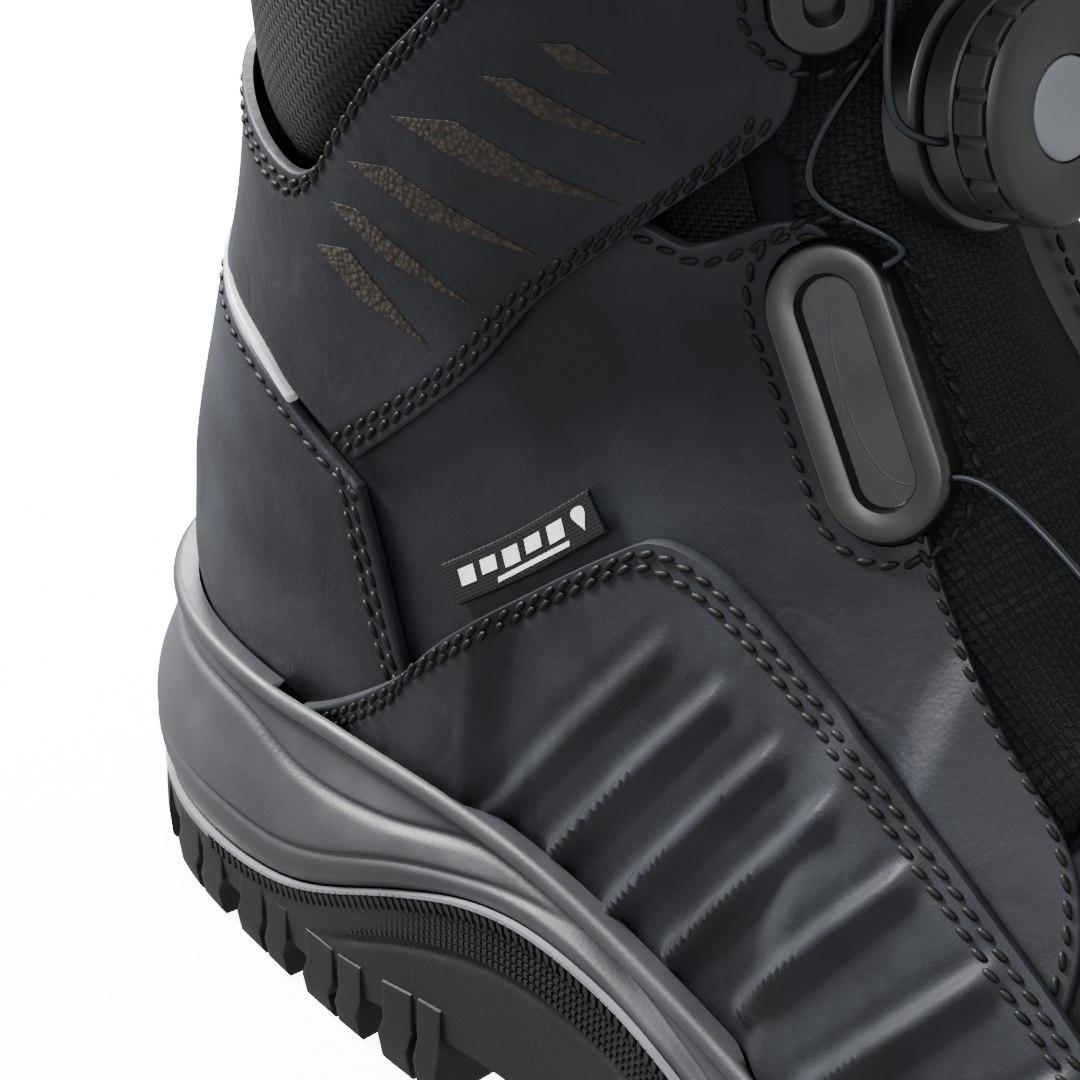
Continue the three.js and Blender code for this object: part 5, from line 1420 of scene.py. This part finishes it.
def side_lug(start, stop, depth):
    """A block from the wall to the ground, whose side face steps out, leans and draws in."""
    rings = []
    for height, proud, lean in ((1.0, -0.6, 0.0), (0.94, 0.75, 0.0), (0.62, 1.0, 0.02), (0.56, 1.0, 0.03),
                                (0.3, 0.9, -0.02), (0.06, 0.5, 0.01), (0.0, -0.1, 0.01)):
        ring_points = []
        shares = np.linspace(0, 1, LUG_STEPS + 1)
        shift = lean * (stop - start) * 4
        for share, off in [(s, WALL_OFF + proud) for s in shares] + [(s, depth) for s in shares[::-1]]:
            k = start + (stop - start) * share + shift
            x, q = wall_point(k, off)
            low = float(ground(min(x, q[0])))
            top = float(OUTSOLE_FLOOR(x)) + (5.5 if off > 0 else -2.4)
            ring_points.append([q[0], q[1], low + (top - low) * height])
        rings.append(np.array(ring_points))
    n, m = len(rings[0]), len(rings)
    faces = band_faces(n, m - 1)
    for base in (0, (m - 1) * n):
        for i in range(LUG_STEPS):
            faces.append([base + i, base + i + 1, base + n - i - 2, base + n - i - 1])
    return np.vstack(rings), faces


def flat_lug(corners):
    """A lug inside the tread, narrowed a little towards the ground."""
    corners = np.array(corners, float)
    middle = corners.mean(0)
    top = [[x, y, float(OUTSOLE_FLOOR(x)) - 1.8] for x, y in corners]
    low = [[*(c * 0.9 + middle * 0.1), float(ground(c[0]))] for c in corners]
    n = len(corners)
    faces = band_faces(n, 1)
    faces += [[0, 1, 4, 5], [1, 2, 3, 4], [n, n + 1, n + 4, n + 5], [n + 1, n + 2, n + 3, n + 4]]
    return np.array(top + low), faces


tread_points, tread_faces = [], []


def add_lug(points, faces):
    """Adds one lug to the tread's mesh."""
    before = sum(len(lug) for lug in tread_points)
    tread_points.append(points)
    tread_faces.extend([[before + i for i in face] for face in faces])


closed = np.vstack([FEATHER, FEATHER[:1]])
outline_run = run_of(closed)
place = 0.0
while place + LUG_LENGTH < outline_run[-1]:
    start, stop = (float(np.interp(place + d, outline_run, np.arange(len(closed))))
                   for d in (0, LUG_LENGTH))
    x_mid = wall_point((start + stop) / 2, 0)[0]
    if not ARCH[0] < x_mid < ARCH[1]:
        depth = -11 if x_mid < 60 or x_mid > 250 else -15
        slit = start + (stop - start) * LUG_SLIT
        gap = (stop - start) * LUG_SLIT_HALF
        add_lug(*side_lug(start, slit - gap, depth))
        add_lug(*side_lug(slit + gap, stop, depth))
    place += LUG_LENGTH + LUG_GAP
# Chevrons inside the tread: tip, middle line and half width of each.
CHEVRONS = [(28, 0, 15), (52, 0, 15), (148, 1, 20), (168, 1, 24), (188, 2, 26), (208, 3, 26),
            (228, 4, 25), (248, 5, 20)]
CHEVRON_BAR = 9
for x, y, half in CHEVRONS:
    reach = half * 0.4
    add_lug(*flat_lug([(x, y), (x + reach, y + half), (x + reach + CHEVRON_BAR, y + half),
                       (x + CHEVRON_BAR, y), (x + reach + CHEVRON_BAR, y - half), (x + reach, y - half)]))
tread = make_mesh("tread_lugs", np.vstack(tread_points), tread_faces, sharp=30)
ease = tread.modifiers.new("ease", "BEVEL")
ease.width = 0.45 * MM
ease.segments = 2
ease.limit_method = "ANGLE"
ease.angle_limit = math.radians(38)
plain_mesh(tread)
tread.data.shade_smooth()
tread.data.set_sharp_from_angle(angle=math.radians(45))
finish_piece(tread, RUBBER, "rubber_sole")


# ------------------------------------------------------------------ closure and inner parts
def ring_stack(name, axes, rings):
    """Closed flat outlines stacked along a frame's own z, with fans over both ends."""
    n, m = len(rings[0][0]), len(rings)
    points = [in_frame(axes, x, y, z) for flat, z in rings for x, y in flat]
    faces = band_faces(n, m - 1)
    for k, ring_start in ((0, 0), (m - 1, (m - 1) * n)):
        centre = np.mean(rings[k][0], axis=0)
        points.append(in_frame(axes, centre[0], centre[1], rings[k][1]))
        faces += [[ring_start + i, ring_start + (i + 1) % n, len(points) - 1] for i in range(n)]
    return make_mesh(name, np.array(points), faces, sharp=38)


GUIDE_HEIGHT = 5.4


def guide_body(name, node, axes, length, width):
    """A moulded guide: upright sides, an eased rim and a sunk window with round ends."""
    steps = [(0, -3.4), (0, 3.4), (0.25, 4.2), (0.8, 4.9), (1.6, 5.3), (2.6, GUIDE_HEIGHT),
             (7.4, GUIDE_HEIGHT), (8.4, 5.2), (8.9, 4.7), (9.1, 3.3), (9.6, 3.0)]
    rings = [(stadium(length - inset, width - inset)[:-1], z) for inset, z in steps if inset < width - 2.5]
    return finish_piece(ring_stack(name, axes, rings), TPU, "moulded_tpu", [node])


VAMP_SEAT = front_line(96.5)
vamp_axes = frame_at(VAMP_SEAT, (VAMP_SEAT[0], VAMP_SEAT[1] + 0.2))
guides = {("vamp", 0): (vamp_axes, 34.0, 12.0)}
for name, side in (("lateral", LATERAL), ("medial", MEDIAL)):
    for which in ("lower", "upper"):
        axes, _, length, width = guide_frame(which, side)
        guides[which, side] = (axes, length, width)
        guide_body(f"{which}_guide_body_{name}", f"{which}_guide_{name}", axes, length, width)
guide_body("vamp_guide_body", "vamp_guide", *guides["vamp", 0])

# Dial: heights over the upper along its own axis, in mm.
DIAL_RADIUS, DIAL_HEIGHT = 15.0, 13.5
PLATE_TOP = 2.2
FLOOR_TOP = PLATE_TOP + TOUCH + 1.6
WALL_TOP = FLOOR_TOP + 3
PORT_HEIGHT = FLOOR_TOP + TOUCH + 1.6
KNOB_LOW = WALL_TOP + TOUCH
CAP_LOW = DIAL_HEIGHT - 0.8
dial_place = front_line(168)
dial_axes = frame_at(dial_place, front_line(176))


def turned(name, profile, material, slot, nodes, body="boot", segments=96, flutes=0, depth=0.0):
    """A turned or moulded round piece from (radius, height) pairs; flutes are cut into its rim."""
    angle = np.linspace(0, ROUND, segments, endpoint=False)
    rings = []
    for r, z in profile:
        cut = np.clip(2.2 * np.cos(flutes * angle) - 1.1, 0, 1)
        reach = r - (depth * cut if flutes and r > DIAL_RADIUS - 1.6 else 0)
        rings.append((np.column_stack([np.cos(angle), np.sin(angle)]) * np.reshape(reach, (-1, 1)), z))
    return finish_piece(ring_stack(name, dial_axes, rings), material, slot, nodes, body)


turned("dial_plate_moulded", [(DIAL_RADIUS + 1.5, -2.6), (DIAL_RADIUS + 1.5, PLATE_TOP - 0.6),
                              (DIAL_RADIUS + 1.1, PLATE_TOP - 0.15), (DIAL_RADIUS + 0.6, PLATE_TOP)],
       TPU, "moulded_tpu", ["dial_plate"])
turned("dial_base_moulded", [(3.0, PLATE_TOP + TOUCH), (DIAL_RADIUS - 0.4, PLATE_TOP + TOUCH),
                             (DIAL_RADIUS, PLATE_TOP + TOUCH + 0.4), (DIAL_RADIUS, WALL_TOP - 0.3),
                             (DIAL_RADIUS - 0.3, WALL_TOP), (DIAL_RADIUS - 1.4, WALL_TOP),
                             (DIAL_RADIUS - 1.6, WALL_TOP - 0.2), (DIAL_RADIUS - 1.6, FLOOR_TOP)],
       NYLON, "moulded_nylon", ["dial_base"])
turned("dial_knob_moulded", [(12.2, KNOB_LOW + 0.2), (DIAL_RADIUS - 2.4, KNOB_LOW + 0.2),
                             (DIAL_RADIUS - 2.4, DIAL_HEIGHT - 1.4), (DIAL_RADIUS - 0.5, DIAL_HEIGHT - 1.3),
                             (DIAL_RADIUS - 0.3, DIAL_HEIGHT - 1.0), (DIAL_RADIUS - 0.9, DIAL_HEIGHT - 0.3),
                             (DIAL_RADIUS - 1.5, DIAL_HEIGHT - 0.05), (DIAL_RADIUS - 2, DIAL_HEIGHT),
                             (7.1, DIAL_HEIGHT), (6.8, DIAL_HEIGHT - 0.2), (6.8, CAP_LOW)],
       NYLON, "moulded_nylon", ["dial_knob"], "knob")
turned("knob_grip_fluted", [(DIAL_RADIUS - 2.1, KNOB_LOW), (DIAL_RADIUS - 0.3, KNOB_LOW),
                            (DIAL_RADIUS, KNOB_LOW + 0.3), (DIAL_RADIUS, DIAL_HEIGHT - 2.0),
                            (DIAL_RADIUS - 0.3, DIAL_HEIGHT - 1.7), (DIAL_RADIUS - 2.1, DIAL_HEIGHT - 1.7)],
       GRIP, "rubber_grip", ["knob_grip"], "knob", 192, 16, 0.8)
turned("knob_cap_satin", [(6.3, CAP_LOW + 0.05), (6.5, CAP_LOW + 0.2), (6.5, DIAL_HEIGHT - 0.2),
                          (6.3, DIAL_HEIGHT), (5.7, DIAL_HEIGHT + 0.18), (4, DIAL_HEIGHT + 0.2)],
       KNOB_CAP, "knob_cap", ["knob_cap"], "knob")

# The wire: from the dial through the guides of one side, the vamp guide and back up the other side.
WIRE = 1.2
SPOOL_GROOVE = 8


def guide_run(axes, length, width, way):
    """The wire's points inside a guide: in at one end of its mouth and out at the other."""
    mouth, reach = width / 2 + 3, length / 2 - 5
    flat = [(-reach, mouth), (-reach + 2, width * 0.1), (-reach + 7, -width * 0.08),
            (reach - 7, -width * 0.08), (reach - 2, width * 0.1), (reach, mouth)]
    return [in_frame(axes, x, way * y, GUIDE_HEIGHT * 0.45) for x, y in flat]


def half_route(side):
    """The wire's points on one side: spool, port, upper guide, the way down and lower guide."""
    way = -side
    start = [(0, SPOOL_GROOVE + TOUCH + WIRE / 2, PORT_HEIGHT), (0, DIAL_RADIUS + 1, PORT_HEIGHT),
             (5, DIAL_RADIUS + 6, PORT_HEIGHT - 3)]
    beside = on_last(np.array([dial_place[0], math.pi - side * 0.57]), 1.4)
    return ([in_frame(dial_axes, x, way * y, z) for x, y, z in start]
            + guide_run(*guides["upper", side], way) + [beside] + guide_run(*guides["lower", side], way))


def centripetal(points, count):
    """A smooth line through points that doesn't overshoot at close ones."""
    p = np.array(points)
    p = np.vstack([2 * p[0] - p[1], p, 2 * p[-1] - p[-2]])
    knots = np.concatenate([[0], np.cumsum(np.linalg.norm(np.diff(p, axis=0), axis=1) ** 0.5)])
    out = []
    for u in np.linspace(0, len(p) - 3 - 1e-9, count):
        i = int(u) + 1
        t0, t1, t2, t3 = knots[i - 1:i + 3]
        t = t1 + (t2 - t1) * (u - int(u))
        a1 = (t1 - t) / (t1 - t0) * p[i - 1] + (t - t0) / (t1 - t0) * p[i]
        a2 = (t2 - t) / (t2 - t1) * p[i] + (t - t1) / (t2 - t1) * p[i + 1]
        a3 = (t3 - t) / (t3 - t2) * p[i + 1] + (t - t2) / (t3 - t2) * p[i + 2]
        b1 = (t2 - t) / (t2 - t0) * a1 + (t - t0) / (t2 - t0) * a2
        b2 = (t3 - t) / (t3 - t1) * a2 + (t - t1) / (t3 - t1) * a3
        out.append((t2 - t) / (t2 - t1) * b1 + (t - t1) / (t2 - t1) * b2)
    return np.array(out)


def swept(name, line, radius, material, slot, nodes, sides=12):
    """A round wire along a line, by turning a frame as little as possible."""
    tangent = np.gradient(line, axis=0)
    tangent /= np.linalg.norm(tangent, axis=1, keepdims=True)
    side = np.cross(tangent[0], [0, 0, 1.0])
    points = []
    angle = np.linspace(0, ROUND, sides, endpoint=False)
    for p, t in zip(line, tangent):
        side = side - t * side.dot(t)
        side /= np.linalg.norm(side)
        points += [p + radius * (math.cos(a) * side + math.sin(a) * np.cross(t, side)) for a in angle]
    faces = band_faces(sides, len(line) - 1)
    faces += [list(range(sides)), list(range(len(points) - sides, len(points)))[::-1]]
    return finish_piece(make_mesh(name, np.array(points), faces), material, slot, nodes)


vamp_run = guide_run(*guides["vamp", 0], -1)
route = half_route(LATERAL) + vamp_run[::-1] + half_route(MEDIAL)[::-1]
wire_line = centripetal(route, 520)
for _ in range(14):
    wire_line[1:-1] = wire_line[1:-1] * 0.5 + (wire_line[:-2] + wire_line[2:]) * 0.25
swept("lace_wire", wire_line, WIRE / 2, WIRE_COATED, "coated_wire", ["lace_cable"])

# Inner pieces keep their modelled solids and only get their finishes.
CAD_FINISH = {"dial_spool": NYLON, "dial_screw": SCREW, "insole_board": BOARD, "puncture_plate": STEEL,
              "toe_cap": STEEL, "toe_cap_strip": FOAM, "heel_stiffener": BOARD, "footbed": FOAM,
              "membrane_bootie": LINING}
for name, material in CAD_FINISH.items():
    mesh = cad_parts[name].data
    mesh.materials.clear()
    mesh.materials.append(material)


# ------------------------------------------------------------------ studio
def soft_box(name, location, target, size, power):
    """A soft box aimed at a point, in metres and watts."""
    lamp = bpy.data.objects.new(name, bpy.data.lights.new(name, "AREA"))
    lamp.data.shape = "RECTANGLE"
    lamp.data.size, lamp.data.size_y = size
    lamp.data.energy = power
    lamp.location = location
    lamp.rotation_euler = (Vector(target) - Vector(location)).to_track_quat("-Z", "Y").to_euler()
    scene.collection.objects.link(lamp)


floor_material, floor_tree, floor_shader = new_material(
    "pale painted floor", Roughness=0.7, Specular_IOR_Level=0.2, Emission_Color=(1, 1, 1, 1),
    Emission_Strength=9.0)
two_tone(floor_tree, floor_shader, object_coords(floor_tree), 0.3, "#f4f4f4", "#fbfbfb")
FLOOR_HALF, FLOOR_LEVEL = 6, -0.0004
mesh = bpy.data.meshes.new("floor")
corners = [(x * FLOOR_HALF, y * FLOOR_HALF, FLOOR_LEVEL) for x, y in ((-1, -1), (1, -1), (1, 1), (-1, 1))]
mesh.from_pydata(corners, [], [[0, 1, 2, 3]])
floor = bpy.data.objects.new("floor", mesh)
floor.data.materials.append(floor_material)
scene.collection.objects.link(floor)
floor.visible_diffuse = False    # the white ground shows, and doesn't light the dark boot from below
floor.visible_glossy = False

world = bpy.data.worlds.new("studio")
world.use_nodes = True
world.node_tree.nodes["Background"].inputs["Color"].default_value = (1, 1, 1, 1)
world.node_tree.nodes["Background"].inputs["Strength"].default_value = 0.85
scene.world = world
soft_box("key", (-1.1, -0.3, 0.85), (-0.06, 0, 0.1), (0.4, 0.4), 105)
soft_box("rim", (-0.95, 0.75, 0.55), (-0.08, 0, 0.12), (0.6, 0.4), 60)
soft_box("fill", (0.5, -1.0, 1.1), (-0.03, 0, 0.08), (0.9, 0.9), 16)
